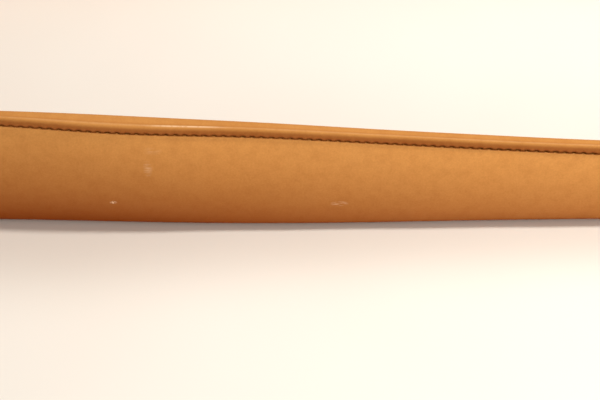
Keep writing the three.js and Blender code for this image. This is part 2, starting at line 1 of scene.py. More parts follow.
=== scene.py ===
"""The looks of the leather money belt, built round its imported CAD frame.

Shapes are worked out in millimetres and made in metres. As in the CAD source, s is the distance along the
belt from the widest point of its body, growing towards the tail, and n is the distance outwards from the
loop's centreline. Round the zip, depth is the distance into the loop from the front side's centreline.
"""
import math

import bpy
import numpy as np
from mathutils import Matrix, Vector


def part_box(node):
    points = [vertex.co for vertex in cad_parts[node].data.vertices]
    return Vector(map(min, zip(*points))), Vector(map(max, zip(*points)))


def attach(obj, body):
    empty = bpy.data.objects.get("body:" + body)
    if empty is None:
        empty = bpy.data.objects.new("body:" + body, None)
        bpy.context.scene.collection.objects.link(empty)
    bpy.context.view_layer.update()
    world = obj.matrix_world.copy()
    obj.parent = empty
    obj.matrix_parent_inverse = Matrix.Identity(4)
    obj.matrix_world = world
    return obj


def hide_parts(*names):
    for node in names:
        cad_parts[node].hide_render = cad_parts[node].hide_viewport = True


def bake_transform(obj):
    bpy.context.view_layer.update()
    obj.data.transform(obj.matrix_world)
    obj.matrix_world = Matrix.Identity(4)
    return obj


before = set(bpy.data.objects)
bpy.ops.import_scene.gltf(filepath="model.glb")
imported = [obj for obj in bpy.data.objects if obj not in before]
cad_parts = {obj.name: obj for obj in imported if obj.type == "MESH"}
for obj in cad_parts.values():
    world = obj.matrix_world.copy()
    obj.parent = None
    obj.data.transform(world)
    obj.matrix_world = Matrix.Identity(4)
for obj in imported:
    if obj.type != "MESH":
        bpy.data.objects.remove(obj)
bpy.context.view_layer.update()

MM = 0.001


# ---- dimensions, mm

SIDE_LENGTH = 300
BEND_RADIUS = 75
WIDEST_X = -160
BODY_HALF_LENGTH = 380
TAPER_HALF_LENGTH = 340
MIDDLE_HEIGHT = 49.4
END_HEIGHT = 32.6
END_LIFT = 2.4
LIFT_START = 310
INNER_FACE = -3.0
LOW_FRONT = 3.2
HIGH_FRONT = 0.8
CROWN = 3.0
END_FRONT = 3.1
END_BLEND_START = 300
END_BLEND_LENGTH = 45
LOW_SWELL = (2.6, -10, 75)  # depth, x and spread
TOP_SWELL = (2.4, -60, 36)
PINCH_LENGTH = 12  # of the body's ends, drawn in round the billets
FOLD_RADIUS = 3.1
INNER_FOLD_RADIUS = 2.6
LEATHER = 1.3
SHOULDER = 0.5  # radius of the outer wall's upper edge, beside the seam
BINDING_HEIGHT = 3.3
BINDING_DROP = 0.12
SEAM_GAP = 0.14  # between the rolled edge and the outer wall
SEAM_MARGIN = 6  # from the seam's ends to the body's
STITCH_PITCH = 3.2
STITCH_LENGTH = 2.5
STITCH_RADIUS = 0.34
RUBBED_S = 122  # where the bead's crest is rubbed palest
ZIP_X = -4
ZIP_Z = 17.5
WINDOW_LENGTH = 236
WINDOW_HALF_HEIGHT = 5.5
WINDOW_ROWS = (6, 6, 9)  # of faces in the inner wall: below the zip window, across it and above it
BILLET_WIDTH = 25
BILLET_THICKNESS = 2.8
BILLET_Z = 17.5
ROOT_START = 352
TAIL_END = 520
TIP_LENGTH = 15
HOLES = [405, 425, 445, 465, 485]
HOLE_RADIUS = 2.0
BAR_X = 119
BAR_N = -3.3

# The CAD model's origin is under the middle of the whole belt, so the loop's own centre is a little off.
TAPE_LOW, TAPE_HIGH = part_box("zip_tape_upper")
LOOP_X = (TAPE_LOW.x + TAPE_HIGH.x) / 2 / MM - ZIP_X
TAPE_DEPTH = 0.9
LOOP_Y = TAPE_LOW.y / MM + BEND_RADIUS - TAPE_DEPTH

BEND_LENGTH = math.pi * BEND_RADIUS
FRONT_START = -SIDE_LENGTH / 2 - WIDEST_X
FRONT_END = FRONT_START + SIDE_LENGTH
BACK_END = FRONT_START - BEND_LENGTH


# ---- the loop and the body's shape

def loop_at(s):
    """Places x, y on the loop's centreline, and the outward directions there, for an array of s."""
    s = np.asarray(s, float)
    turn = np.maximum(s - FRONT_END, 0) - np.clip(FRONT_START - s, 0, BEND_LENGTH)
    angle = turn / BEND_RADIUS - math.pi / 2
    centre = np.clip(s + WIDEST_X, -SIDE_LENGTH / 2, SIDE_LENGTH / 2) + np.maximum(BACK_END - s, 0)
    out_x, out_y = np.cos(angle), np.sin(angle)
    x = LOOP_X + centre + BEND_RADIUS * out_x
    y = LOOP_Y + BEND_RADIUS * out_y
    return x, y, out_x, out_y


def smooth_step(t):
    t = np.clip(t, 0, 1)
    return t * t * (3 - 2 * t)


def bell(x, swell):
    depth, middle, spread = swell
    return depth * np.exp(-(((x - middle) / spread) ** 2))


def top_at(s):
    t = np.minimum(np.abs(s), TAPER_HALF_LENGTH) / TAPER_HALF_LENGTH
    return END_HEIGHT + (MIDDLE_HEIGHT - END_HEIGHT) * (0.5 + 0.5 * np.cos(math.pi * t))


def bottom_at(s):
    return END_LIFT * smooth_step((np.abs(s) - LIFT_START) / (BODY_HALF_LENGTH - LIFT_START))


def seam_level(s):
    """The top of the leather walls, under the rolled edge."""
    return top_at(s) - BINDING_HEIGHT - SEAM_GAP


def front_face(s, z):
    """How far out the body's outer face lies."""
    x = s + WIDEST_X
    share = (z - bottom_at(s)) / (top_at(s) - bottom_at(s))
    low = LOW_FRONT + bell(x, LOW_SWELL)
    high = HIGH_FRONT + bell(x, TOP_SWELL)
    domed = low * (1 - share) + high * share + CROWN * 4 * share * (1 - share)
    blend = smooth_step((np.abs(s) - END_BLEND_START) / END_BLEND_LENGTH)
    return domed * (1 - blend) + END_FRONT * blend


def end_pinch(s, n, z):
    """Draws the body's two ends in around the billets, with rounded corners."""
    past = np.clip((np.abs(s) - (BODY_HALF_LENGTH - PINCH_LENGTH)) / PINCH_LENGTH, 0, 1)
    return n * (1 - 0.28 * past**2), BILLET_Z + (z - BILLET_Z) * (1 - 0.1 * past**3)


def body_stations():
    """Rows along the body, at every quarter of a stitch, with rows at the zip window's two ends."""
    window = [ZIP_X - WINDOW_LENGTH / 2 - WIDEST_X, ZIP_X + WINDOW_LENGTH / 2 - WIDEST_X]
    knots = [-BODY_HALF_LENGTH, *window, BODY_HALF_LENGTH]
    rows = [np.array([knots[0]])]
    for a, b in zip(knots, knots[1:]):
        rows.append(np.linspace(a, b, round((b - a) / (STITCH_PITCH / 4)) + 1)[1:])
    return np.concatenate(rows)


# ---- mesh making

def points_at(x, y, z):
    """One array of points from x, y and z, each of them an array or one number for all."""
    return np.stack(np.broadcast_arrays(x, y, z), axis=-1)


def place(s, n, z):
    """Points in metres for arrays of s, n and z."""
    x, y, out_x, out_y = loop_at(s)
    return points_at(x + out_x * n, y + out_y * n, z) * MM


def unit(vectors):
    return vectors / np.linalg.norm(vectors, axis=-1, keepdims=True)


def round_angles(count):
    return np.linspace(0, 2 * math.pi, count, endpoint=False)


def link(name, data):
    thing = bpy.data.objects.new(name, data)
    bpy.context.scene.collection.objects.link(thing)
    return thing


def finish_mesh(mesh, sharp_degrees):
    mesh.update()
    mesh.polygons.foreach_set("use_smooth", [True] * len(mesh.polygons))
    mesh.set_sharp_from_angle(angle=math.radians(sharp_degrees))
    return mesh


def mesh_of(name, points, faces, sharp_degrees=50, **attributes):
    """A mesh object from points in metres. Each attribute is one number per point."""
    mesh = bpy.data.meshes.new(name)
    mesh.from_pydata(np.asarray(points).reshape(-1, 3).tolist(), [], faces)
    for key, values in attributes.items():
        layer = mesh.attributes.new(key, "FLOAT", "POINT")
        layer.data.foreach_set("value", np.asarray(values, np.float32).ravel())
    return link(name, finish_mesh(mesh, sharp_degrees))


def grid_faces(rows, columns, around=True, looped=False, keep=None):
    """Faces between rows of points. The outlines may close (around), and so may the line of rows (looped)."""
    faces = []
    for i in range(rows if looped else rows - 1):
        for j in range(columns if around else columns - 1):
            if keep is None or keep(i, j):
                k = (j + 1) % columns
                a, b = i * columns, (i + 1) % rows * columns
                faces.append((a + j, a + k, b + k, b + j))
    return faces


def signed_volume(points, faces):
    total = 0.0
    for face in faces:
        p = points[list(face)]
        total += float(np.sum(np.cross(p[1:-1], p[2:]) @ p[0]))
    return total


def swept(grid, looped=False):
    """The points and the outward faces of a solid made of rows of closed outlines."""
    grid = np.asarray(grid, float)
    rows, columns = grid.shape[:2]
    points = grid.reshape(-1, 3)
    faces = grid_faces(rows, columns, looped=looped)
    if not looped:
        faces.append(tuple(range(columns))[::-1])
        faces.append(tuple((rows - 1) * columns + j for j in range(columns)))
    if signed_volume(points, faces) < 0:
        faces = [face[::-1] for face in faces]
    return points, faces


def assembled(name, solids, sharp_degrees=40):
    """One mesh object from several solids given in millimetres."""
    points, faces, base = [], [], 0
    for solid_points, solid_faces in solids:
        points.append(solid_points)
        faces.extend(tuple(base + i for i in face) for face in solid_faces)
        base += len(solid_points)
    return mesh_of(name, np.concatenate(points) * MM, faces, sharp_degrees)


def turned(profile, centre, axis):
    """A solid of revolution from [radius, height] points, round an axis ("Y" or "Z") through centre."""
    angles = round_angles(40)
    rows = []
    for radius, height in profile:
        a, b = radius * np.cos(angles), radius * np.sin(angles)
        ring = points_at(a, height, b) if axis == "Y" else points_at(a, b, height)
        rows.append(ring + centre)
    return swept(rows)


def path_normals(path):
    """The directions to the left of a flat path, at each of its points."""
    tangent = unit(np.gradient(path, axis=0))
    return np.stack([-tangent[:, 1], tangent[:, 0]], axis=1)


def along_path(path, section):
    """Places a section on each point of a flat path.

    path holds [a, b] points, and section(i, share) gives the outline's [across, out] points there. The rows
    come back as arrays of a, b and across.
    """
    rows = []
    for i, (point, out) in enumerate(zip(path, path_normals(path))):
        outline = section(i, i / (len(path) - 1))
        rows.append(np.column_stack([point + outline[:, 1:2] * out, outline[:, 0]]))
    return np.array(rows)


def resampled(path, step):
    """The same line with points an even step apart."""
    path = np.asarray(path, float)
    lengths = np.concatenate([[0], np.cumsum(np.linalg.norm(np.diff(path, axis=0), axis=1))])
    count = max(2, round(lengths[-1] / step) + 1)
    wanted = np.linspace(0, lengths[-1], count)
    return np.column_stack([np.interp(wanted, lengths, path[:, k]) for k in range(path.shape[1])])


def eased(path, rounds=3):
    """The same line with its corners softened, and its ends kept."""
    path = np.array(path, float)
    for _ in range(rounds):
        path[1:-1] = (path[:-2] + 2 * path[1:-1] + path[2:]) / 4
    return path


def arc(centre_a, centre_b, radius, start, end, count):
    """Points of an arc, its angles in degrees."""
    angles = np.radians(np.linspace(start, end, count))
    return [(centre_a + radius * math.cos(t), centre_b + radius * math.sin(t)) for t in angles]


def rounded_rectangle(half_width, half_height, radius, per_corner=5):
    """An outline of [a, b] points, counter-clockwise from the middle of the right side."""
    points = []
    for corner, (ca, cb) in enumerate([(1, 1), (-1, 1), (-1, -1), (1, -1)]):
        centre = (ca * (half_width - radius), cb * (half_height - radius))
        points += arc(*centre, radius, 90 * corner, 90 * corner + 90, per_corner)
    return np.array(points)


def smooth_closed(points, count):
    """A smooth closed curve through the points, as count points."""
    p = np.asarray(points, float)
    total = len(p)
    t = np.linspace(0, total, count, endpoint=False)
    i = t.astype(int)
    f = (t - i)[:, None]
    p0, p1, p2, p3 = (p[(i + k) % total] for k in (-1, 0, 1, 2))
    return 0.5 * (2 * p1 + (p2 - p0) * f + (2 * p0 - 5 * p1 + 4 * p2 - p3) * f**2
                  + (3 * p1 - p0 - 3 * p2 + p3) * f**3)


def apply_modifiers(piece, sharp_degrees):
    graph = bpy.context.evaluated_depsgraph_get()
    mesh = bpy.data.meshes.new_from_object(piece.evaluated_get(graph))
    piece.modifiers.clear()
    piece.data = finish_mesh(mesh, sharp_degrees)


def thicken(piece, thickness, offset):
    """Gives a sheet its thickness in millimetres: offset -1 adds it behind the faces, 0 on both sides."""
    solid = piece.modifiers.new("thickness", "SOLIDIFY")
    solid.thickness = thickness * MM
    solid.offset = offset
    apply_modifiers(piece, 60)


def coat(piece, *materials):
    piece.data.materials.clear()
    for material in materials:
        piece.data.materials.append(material)


def cutter(rows, material):
    """A solid to cut with. The cut walls take its material."""
    tool = assembled("cutting_tool", [swept(rows)])
    coat(tool, material)
    return tool


def punch(piece, cutters):
    """Cuts each cutter out of a piece."""
    for tool in cutters:
        cut = piece.modifiers.new("punch", "BOOLEAN")
        cut.operation = "DIFFERENCE"
        cut.solver = "EXACT"
        cut.object = tool
        cut.material_mode = "TRANSFER"
    apply_modifiers(piece, 50)
    for tool in cutters:
        bpy.data.objects.remove(tool)


# ---- materials

class Nodes:
    """Short ways to add and join shader nodes in one material."""

    def __init__(self, name):
        self.material = bpy.data.materials.new(name)
        self.material.use_nodes = True
        self.tree = self.material.node_tree
        self.shader = self.tree.nodes["Principled BSDF"]
        self.coordinates = self.add("ShaderNodeTexCoord").outputs["Object"]

    def add(self, kind, inputs=None, **settings):
        node = self.tree.nodes.new(kind)
        for key, value in settings.items():
            setattr(node, key, value)
        for key, value in (inputs or {}).items():
            self.set(node.inputs[key], value)
        return node

    def set(self, socket, value):
        if isinstance(value, bpy.types.NodeSocket):
            self.tree.links.new(value, socket)
        else:
            socket.default_value = value

    def math(self, operation, a, b=0.0):
        return self.add("ShaderNodeMath", {0: a, 1: b}, operation=operation).outputs[0]

    def mix(self, factor, a, b):
        inputs = {0: factor, 6: a, 7: b}
        return self.add("ShaderNodeMix", inputs, data_type="RGBA").outputs[2]

    def scaled(self, x, y, z):
        """The object's coordinates, stretched by so much each way."""
        inputs = {"Vector": self.coordinates, "Scale": (x, y, z)}
        return self.add("ShaderNodeMapping", inputs).outputs[0]

    def noise(self, scale, detail=3.0, roughness=0.5, vector=None):
        inputs = {"Scale": scale, "Detail": detail, "Roughness": roughness}
        inputs["Vector"] = vector or self.coordinates
        return self.add("ShaderNodeTexNoise", inputs).outputs["Fac"]

    def ramp(self, value, low, high, start=0.0, end=1.0):
        inputs = {"Value": value, "From Min": low, "From Max": high, "To Min": start, "To Max": end}
        return self.add("ShaderNodeMapRange", inputs, clamp=True).outputs[0]

    def attribute(self, name):
        return self.add("ShaderNodeAttribute", attribute_name=name).outputs["Fac"]

    def bump(self, height, distance, strength):
        inputs = {"Height": height, "Distance": distance, "Strength": strength}
        return self.add("ShaderNodeBump", inputs).outputs[0]

    def spot(self, centre, radii):
        """1 at a point, falling to 0 over a soft ellipsoid round it. In metres."""
        moved = self.add("ShaderNodeVectorMath", {0: self.coordinates, 1: centre}, operation="SUBTRACT")
        sized = self.add("ShaderNodeVectorMath", {0: moved.outputs[0], 1: radii}, operation="DIVIDE")
        distance = self.add("ShaderNodeVectorMath", {0: sized.outputs[0]}, operation="LENGTH")
        return self.ramp(distance.outputs["Value"], 1.0, 0.2)

    def finish(self, **shader_inputs):
        for key, value in shader_inputs.items():
            self.set(self.shader.inputs[key.replace("_", " ")], value)
        return self.material


def rgb(red, green, blue):
    """A shader colour from an 8-bit display colour."""
    def linear(c):
        c = c / 255
        return c / 12.92 if c <= 0.04045 else ((c + 0.055) / 1.055) ** 2.4
    return (linear(red), linear(green), linear(blue), 1)


WORN = rgb(240, 205, 165)


def add_scuffs(n, colour, shine, scuffs):
    """Pale marks: streaked smudges, or a nick where the strength is 1."""
    for centre, radii, strength in scuffs:
        if strength < 1:
            broken = n.ramp(n.noise(900, 2, 0.5, n.scaled(0.35, 1, 1.6)), 0.42, 0.6)
        else:
            broken = n.ramp(n.noise(2300, 2), 0.36, 0.58)
        mark = n.math("MULTIPLY", n.math("MULTIPLY", n.spot(centre, radii), broken), strength)
        colour = n.mix(mark, colour, WORN)
        shine = n.math("ADD", shine, n.math("MULTIPLY", mark, 0.25))
    return colour, shine


def leather(name, base, deep, pale, scuffs=()):
    """Smooth grained leather. base is its colour, deep its darker mottling and the colour of painted shade,
    pale its lighter clouds.

    A mesh's burnish attribute darkens it with painted shade, and its worn attribute rubs it pale.
    """
    n = Nodes(name)
    clouds = n.noise(28)
    mottle = n.noise(260, 4, 0.6)
    fine = n.noise(1500, 3, 0.6)
    colour = n.mix(n.ramp(clouds, 0.35, 0.7, 0, 0.3), base, pale)
    colour = n.mix(n.ramp(mottle, 0.42, 0.75, 0, 0.14), colour, deep)
    colour = n.mix(n.ramp(fine, 0.3, 0.75, 0.0, 0.16), colour, deep)
    # Painted shade: the mesh's burnish attribute darkens the colour towards deep.
    colour = n.mix(n.attribute("burnish"), colour, deep)
    shine = n.ramp(mottle, 0.3, 0.75, 0.44, 0.6)
    colour, shine = add_scuffs(n, colour, shine, scuffs)
    worn = n.math("MULTIPLY", n.attribute("worn"), n.ramp(n.noise(700, 2), 0.3, 0.5, 0.35, 1))
    colour = n.mix(worn, colour, WORN)
    cells = n.add("ShaderNodeTexVoronoi", {"Vector": n.coordinates, "Scale": 1350.0}, feature="SMOOTH_F1")
    grain = n.math("MULTIPLY", cells.outputs["Distance"], n.ramp(mottle, 0.25, 0.7, 0.35, 1.0))
    creases = n.math("MULTIPLY", n.noise(420, 5, 0.65), 1.2)
    normal = n.bump(n.math("ADD", grain, creases), 0.00007, 0.55)
    return n.finish(Base_Color=colour, Roughness=shine, Normal=normal, Specular_IOR_Level=0.05)


def edge_paint(name, colour, worn):
    """The smooth dark finish on a strap's cut edges, rubbed paler here and there."""
    n = Nodes(name)
    shade = n.mix(n.ramp(n.noise(340, 4, 0.6), 0.5, 0.75, 0, 0.7), colour, worn)
    return n.finish(Base_Color=shade, Roughness=0.38, Normal=n.bump(n.noise(900, 2), 0.00005, 0.4))


def thread_material(name, colour, dark):
    n = Nodes(name)
    inputs = {"Vector": n.coordinates, "Scale": 1100.0, "Distortion": 1.5}
    twist = n.add("ShaderNodeTexWave", inputs, bands_direction="DIAGONAL").outputs["Fac"]
    shade = n.mix(n.ramp(twist, 0.1, 0.8), dark, colour)
    normal = n.bump(twist, 0.00012, 0.7)
    return n.finish(Base_Color=shade, Roughness=0.75, Normal=normal, Specular_IOR_Level=0.15)


def woven(name, colour, dark, yarns):
    """Cloth of crossing yarns, so many to the metre, laid in the x and z directions."""
    n = Nodes(name)
    split = n.add("ShaderNodeSeparateXYZ", {"Vector": n.coordinates})
    warp, weft = (n.math("SINE", n.math("MULTIPLY", split.outputs[axis], yarns * 2 * math.pi))
                  for axis in ("X", "Z"))
    height = n.ramp(n.math("MULTIPLY", warp, weft), -1, 1)
    shade = n.mix(n.ramp(n.noise(700), 0.3, 0.7, 0, 0.5), colour, dark)
    shade = n.mix(n.ramp(height, 0.5, 0.0, 0, 0.6), shade, dark)
    return n.finish(Base_Color=shade, Roughness=0.9, Normal=n.bump(height, 0.00015, 0.8))


def fibre_board(name, colour, dark):
    n = Nodes(name)
    flecks = n.noise(1800, 4, 0.7, n.scaled(0.5, 1, 1.4))
    shade = n.mix(n.ramp(flecks, 0.35, 0.65), colour, dark)
    return n.finish(Base_Color=shade, Roughness=0.9, Normal=n.bump(flecks, 0.0001, 0.6))


def metal(name, colour, tarnish):
    """Satin metal with fine brushing and darker tarnish."""
    n = Nodes(name)
    patina = n.noise(160, 5, 0.6)
    brushing = n.noise(2600, 2, 0.5, n.scaled(0.2, 1, 1))
    shade = n.mix(n.ramp(patina, 0.4, 0.75, 0, 0.55), colour, tarnish)
    shine = n.ramp(brushing, 0.3, 0.7, 0.21, 0.4)
    normal = n.bump(brushing, 0.00002, 0.4)
    return n.finish(Base_Color=shade, Metallic=1.0, Roughness=shine, Normal=normal)


def floor_material(name, colour, dark):
    n = Nodes(name)
    shade = n.mix(n.ramp(n.noise(9, 2), 0.3, 0.7, 0, 0.6), colour, dark)
    return n.finish(Base_Color=shade, Roughness=0.55)


def front_point(x, z):
    """A point of the front side's outer face, in metres, from its x and z in millimetres."""
    n = float(front_face(np.array(x - LOOP_X - WIDEST_X), np.array(z)))
    return (x * MM, (LOOP_Y - BEND_RADIUS - n) * MM, z * MM)


TAN = rgb(222, 154, 82)
# Darker mottling, and the colour of the painted shade on the body and its rolled edge.
TAN_DEEP = rgb(134, 52, 0)
TAN_PALE = rgb(226, 162, 92)
SCUFFS = [  # centre, radii and strength: a smudge, a fainter one, a nick and a rub
    (front_point(-50, 29), (0.0018, 0.004, 0.004), 0.28),
    (front_point(-48, 36), (0.0035, 0.004, 0.002), 0.14),
    (front_point(-63, 12.6), (0.0015, 0.004, 0.0009), 1.0),
    (front_point(15, 12), (0.0034, 0.004, 0.0014), 0.5),
]
BODY_LEATHER = leather("body_leather", TAN, TAN_DEEP, TAN_PALE, SCUFFS)
BINDING_LEATHER = leather("binding_leather", rgb(194, 132, 66), TAN_DEEP, rgb(208, 148, 84))
STRAP_LEATHER = leather("strap_leather", rgb(190, 114, 46), rgb(138, 70, 20), TAN_PALE)
EDGE_PAINT = edge_paint("edge_paint", rgb(84, 42, 14), rgb(126, 70, 28))
THREAD = thread_material("seam_thread", rgb(166, 96, 36), rgb(112, 60, 18))
BRASS = metal("satin_brass", rgb(196, 160, 100), rgb(128, 92, 48))
TAPE_CLOTH = woven("zip_tape_cloth", rgb(150, 98, 50), rgb(94, 56, 24), 1250)
LINING_CLOTH = woven("lining_cloth", rgb(196, 172, 136), rgb(150, 126, 94), 900)
BOARD = fibre_board("stiffener_board", rgb(150, 122, 92), rgb(98, 76, 54))
FLOOR_WHITE = floor_material("floor_white", rgb(236, 230, 221), rgb(231, 224, 214))


def fit(piece, body, slot, *nodes):
    """Puts a piece under its body's empty and hides the CAD nodes it stands for. slot is not used."""
    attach(piece, body)
    if nodes:
        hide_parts(*nodes)


def dress(piece, material, body, slot, *nodes):
    coat(piece, material)
    fit(piece, body, slot, *nodes)


def cast(name, solids, body, slot, node, sharp_degrees=45):
    """A brass piece made of one or more solids."""
    dress(assembled(name, solids, sharp_degrees), BRASS, body, slot, node)


def sew(name, centres, forwards, ups, *nodes, body="belt_body", size=(STITCH_LENGTH, STITCH_RADIUS)):
    """A row of short rounded threads with their ends dipping into the holes.

    centres are in metres, and size is a stitch's length and radius in millimetres. forwards and ups hold a
    direction for each stitch, or one for all of them.
    """
    length, radius = size
    centres = np.asarray(centres) / MM
    forwards, ups = (np.broadcast_to(directions, centres.shape) for directions in (forwards, ups))
    angles = round_angles(8)
    steps = np.linspace(-1, 1, 7)
    widths = radius * (0.9 * np.sqrt(1 - steps**4) + 0.1)
    dips = 0.5 * radius * np.abs(steps) ** 3
    solids = []
    for centre, forward, up in zip(centres, forwards, ups):
        ring = np.outer(np.cos(angles), np.cross(forward, up)) + np.outer(np.sin(angles), up)
        rows = [centre + forward * step * length / 2 - up * dip + width * ring
                for step, width, dip in zip(steps, widths, dips)]
        solids.append(swept(rows))
    dress(assembled(name, solids, 80), THREAD, body, "seam_thread", *nodes)


# ---- the body

def stitch_pull(s):
    """1 at each stitch hole, 0 between them."""
    return (0.5 + 0.5 * np.cos(2 * math.pi * s / STITCH_PITCH)) ** 3


def uneven(s, z):
    """The slow waviness of hand-worked leather."""
    long_wave = 0.10 * np.sin(s / 17.0 + 0.05 * z)
    short_wave = 0.07 * np.sin(s / 7.3 - z / 9.0)
    return long_wave + short_wave + 0.05 * np.sin(z / 5.1 + s / 31.0)


def painted_face_shade(s, share):
    """Painted shade on the outer face at a share of its height: darker towards the bottom, and lighter on the
    tail's half.
    """
    side = np.tanh((s - 170) / 90)
    return (0.74 - 0.2 * side) * (1 - share) ** (1.4 + 0.3 * side)


def bend(n, z, radius, start, end, count):
    """Places round an arc across the belt, as (turn, n, z). start and end are in degrees, 0 outwards."""
    turns = np.radians(np.linspace(start, end, count))
    return [(turn, n + radius * math.cos(turn), z + radius * math.sin(turn)) for turn in turns]


def outer_wall(s, low, level):
    """Lines along the belt as (n, z, painted shade): from the seam down the outer face and round the fold."""
    lines = []
    shoulder = front_face(s, level - SHOULDER) - SHOULDER
    # Painted shade: the shoulder darkens up into the seam's groove.
    for turn, n, z in bend(shoulder, level - SHOULDER, SHOULDER, 90, 0, 8)[:-1]:
        pulled = 0.26 * stitch_pull(s) * math.sin(turn) ** 0.5
        lines.append((n - pulled, z - pulled, 0.25 * math.sin(turn) ** 3))
    for share in np.linspace(1, 0, 34)[:-1]:
        z = low + FOLD_RADIUS + (level - SHOULDER - low - FOLD_RADIUS) * share
        near_seam = math.exp(-((1 - share) / 0.05) ** 2)
        n = front_face(s, z) - 0.16 * stitch_pull(s) * near_seam
        n = n + uneven(s, z) * math.sin(math.pi * share) ** 0.5
        # Painted shade: the face darkens towards the bottom.
        lines.append((n, z, painted_face_shade(s, share)))
    # Painted shade: darkest under the fold, and on the inner fold's underside.
    fold, dark = front_face(s, low + FOLD_RADIUS) - FOLD_RADIUS, painted_face_shade(s, 0)
    for turn, n, z in bend(fold, low + FOLD_RADIUS, FOLD_RADIUS, 0, -90, 11):
        lines.append((n, z, dark - (0.95 - dark) * math.sin(turn)))
    inside = INNER_FACE + INNER_FOLD_RADIUS
    for turn, n, z in bend(inside, low + INNER_FOLD_RADIUS, INNER_FOLD_RADIUS, -90, -180, 9):
        lines.append((n, z, -0.3 * math.sin(turn)))
    return lines


def inner_wall(s, low, level):
    """Lines up the inner wall as (n, z, painted shade). It stands proud round the zip, where it turns in."""
    levels = [low + INNER_FOLD_RADIUS, ZIP_Z - WINDOW_HALF_HEIGHT, ZIP_Z + WINDOW_HALF_HEIGHT, level]
    beside_zip = np.abs(s + WIDEST_X - ZIP_X) < WINDOW_LENGTH / 2 + 4
    lines = []
    for start, end, rows in zip(levels, levels[1:], WINDOW_ROWS):
        for share in np.linspace(0, 1, rows + 1)[1:]:
            z = start + (end - start) * share
            ridge = np.exp(-(((np.abs(z - ZIP_Z) - WINDOW_HALF_HEIGHT - 0.5) / 1.2) ** 2))
            lines.append((INNER_FACE - 0.22 * ridge * beside_zip, z, 0))
    return lines


def make_body():
    """The outer wall, the fold and the inner wall: one sheet with its thickness added inwards."""
    s = body_stations()
    low, level = bottom_at(s), seam_level(s)
    outer = outer_wall(s, low, level)
    columns, burnish = [], []
    for n, z, dark in outer + inner_wall(s, low, level):
        columns.append(place(s, *end_pinch(s, n, z)))
        burnish.append(dark + 0 * s)
    middles = (s[:-1] + s[1:]) / 2 + WIDEST_X
    beside_window = np.abs(middles - ZIP_X) < WINDOW_LENGTH / 2
    window_start = len(outer) + WINDOW_ROWS[0] - 1
    window_end = window_start + WINDOW_ROWS[1]

    def keep(i, j):
        return not (beside_window[i] and window_start <= j < window_end)

    faces = grid_faces(len(s), len(columns), around=False, keep=keep)
    grid, burnish = np.stack(columns, axis=1), np.stack(burnish, axis=1)
    body = mesh_of("body_leather_shell", grid, faces, 60, burnish=burnish)
    thicken(body, LEATHER, -1)
    dress(body, BODY_LEATHER, "belt_body", "body_leather", "body_shell")


BINDING_PROFILE = [  # share of the width from the back, share of the height
    (0.0, 0.1), (0.0, 0.36), (0.04, 0.56), (0.12, 0.71), (0.26, 0.82), (0.46, 0.88), (0.62, 0.885),
    (0.7, 0.915), (0.77, 0.985), (0.84, 1.0), (0.92, 0.95), (0.975, 0.8), (1.0, 0.6), (1.005, 0.38),
    (0.985, 0.18), (0.93, 0.05), (0.82, 0.0), (0.5, 0.0), (0.2, 0.0), (0.05, 0.03),
]
BEAD_CREASE = (1, 0.66, 0.06)  # painted shade in the crease before the bead: depth of shade, share of the width, spread
BEAD_CREST = (1, 0.82, 0.045)


def make_binding():
    """The strip rolled over the top edges, with a bead along its outer side."""
    s = body_stations()
    height = BINDING_HEIGHT + BINDING_DROP
    level = top_at(s) - height
    overhang = 0.26 - 0.14 * smooth_step((s - 140) / 110)
    front = front_face(s, level - 0.3) + overhang
    pull = stitch_pull(s)
    rubbed = 0.12 + 0.7 * np.exp(-(((s - RUBBED_S) / 11) ** 4))
    columns, burnish, worn = [], [], []
    for across, up in smooth_closed(BINDING_PROFILE, 44):
        low_front = max(0.0, across - 0.7) / 0.3 * math.exp(-((up - 0.1) / 0.3) ** 2)
        front_of_bead = float(smooth_step((across - 0.8) / 0.15) * smooth_step((0.99 - up) / 0.35))
        n = INNER_FACE + (front - INNER_FACE) * across - 0.42 * pull * low_front
        z = level + height * up + 0.3 * pull * low_front + 0.05 * np.sin(s / 11 + 2 * across) * (up > 0.5)
        crease, crest = bell(across, BEAD_CREASE) * (up > 0.5), bell(across, BEAD_CREST) * (up > 0.5)
        columns.append(place(s, *end_pinch(s, n, z)))
        # Painted shade: the bead's front, the groove at its lower front with each stitch's pucker, and the
        # crease.
        burnish.append(0.15 * low_front + 0.5 * front_of_bead + 0.2 * pull * low_front + 0.16 * crease)
        worn.append(rubbed * crest)
    marks = {"burnish": np.stack(burnish, axis=1), "worn": np.stack(worn, axis=1)}
    binding = mesh_of("rolled_top_edge", *swept(np.stack(columns, axis=1)), 70, **marks)
    dress(binding, BINDING_LEATHER, "belt_body", "binding_leather", "top_binding")


def seam_point(s):
    """Where the seam's thread lies, a little sunk into the groove."""
    level = seam_level(s)
    return place(s, front_face(s, level - SHOULDER) - 0.1, level + 0.08)


def make_seam():
    """The row of stitches in the groove under the rolled edge."""
    half = BODY_HALF_LENGTH - SEAM_MARGIN
    s = (np.arange(-half, half, STITCH_PITCH) // STITCH_PITCH + 0.5) * STITCH_PITCH
    middle = seam_point(s)
    forward = unit(seam_point(s + STITCH_PITCH / 4) - middle)
    _, _, out_x, out_y = loop_at(s)
    up = points_at(out_x * 0.8, out_y * 0.8, 0.6)
    up = unit(up - forward * np.sum(up * forward, axis=1, keepdims=True))
    sew("seam_stitches", middle, forward, up, "top_seam_thread", size=(2.6, 0.27))


# ---- inside the pocket

POCKET_START = 30
POCKET_END = 290
BOARD_BOTTOM = 4
BOARD_RISE = 0.86  # of the body's height
BOARD_THICKNESS = 0.7
BOARD_CLEARANCE = 0.4
LINING_BOTTOM = 2.6
LINING_FOLD = 1.2
LINING_RISE = 0.7  # of the body's height
LINING_INNER_TOP = 13.9
LINING_INNER_FACE = -0.6
LINING_THICKNESS = 0.35
LINING_CLEARANCE = 1.6


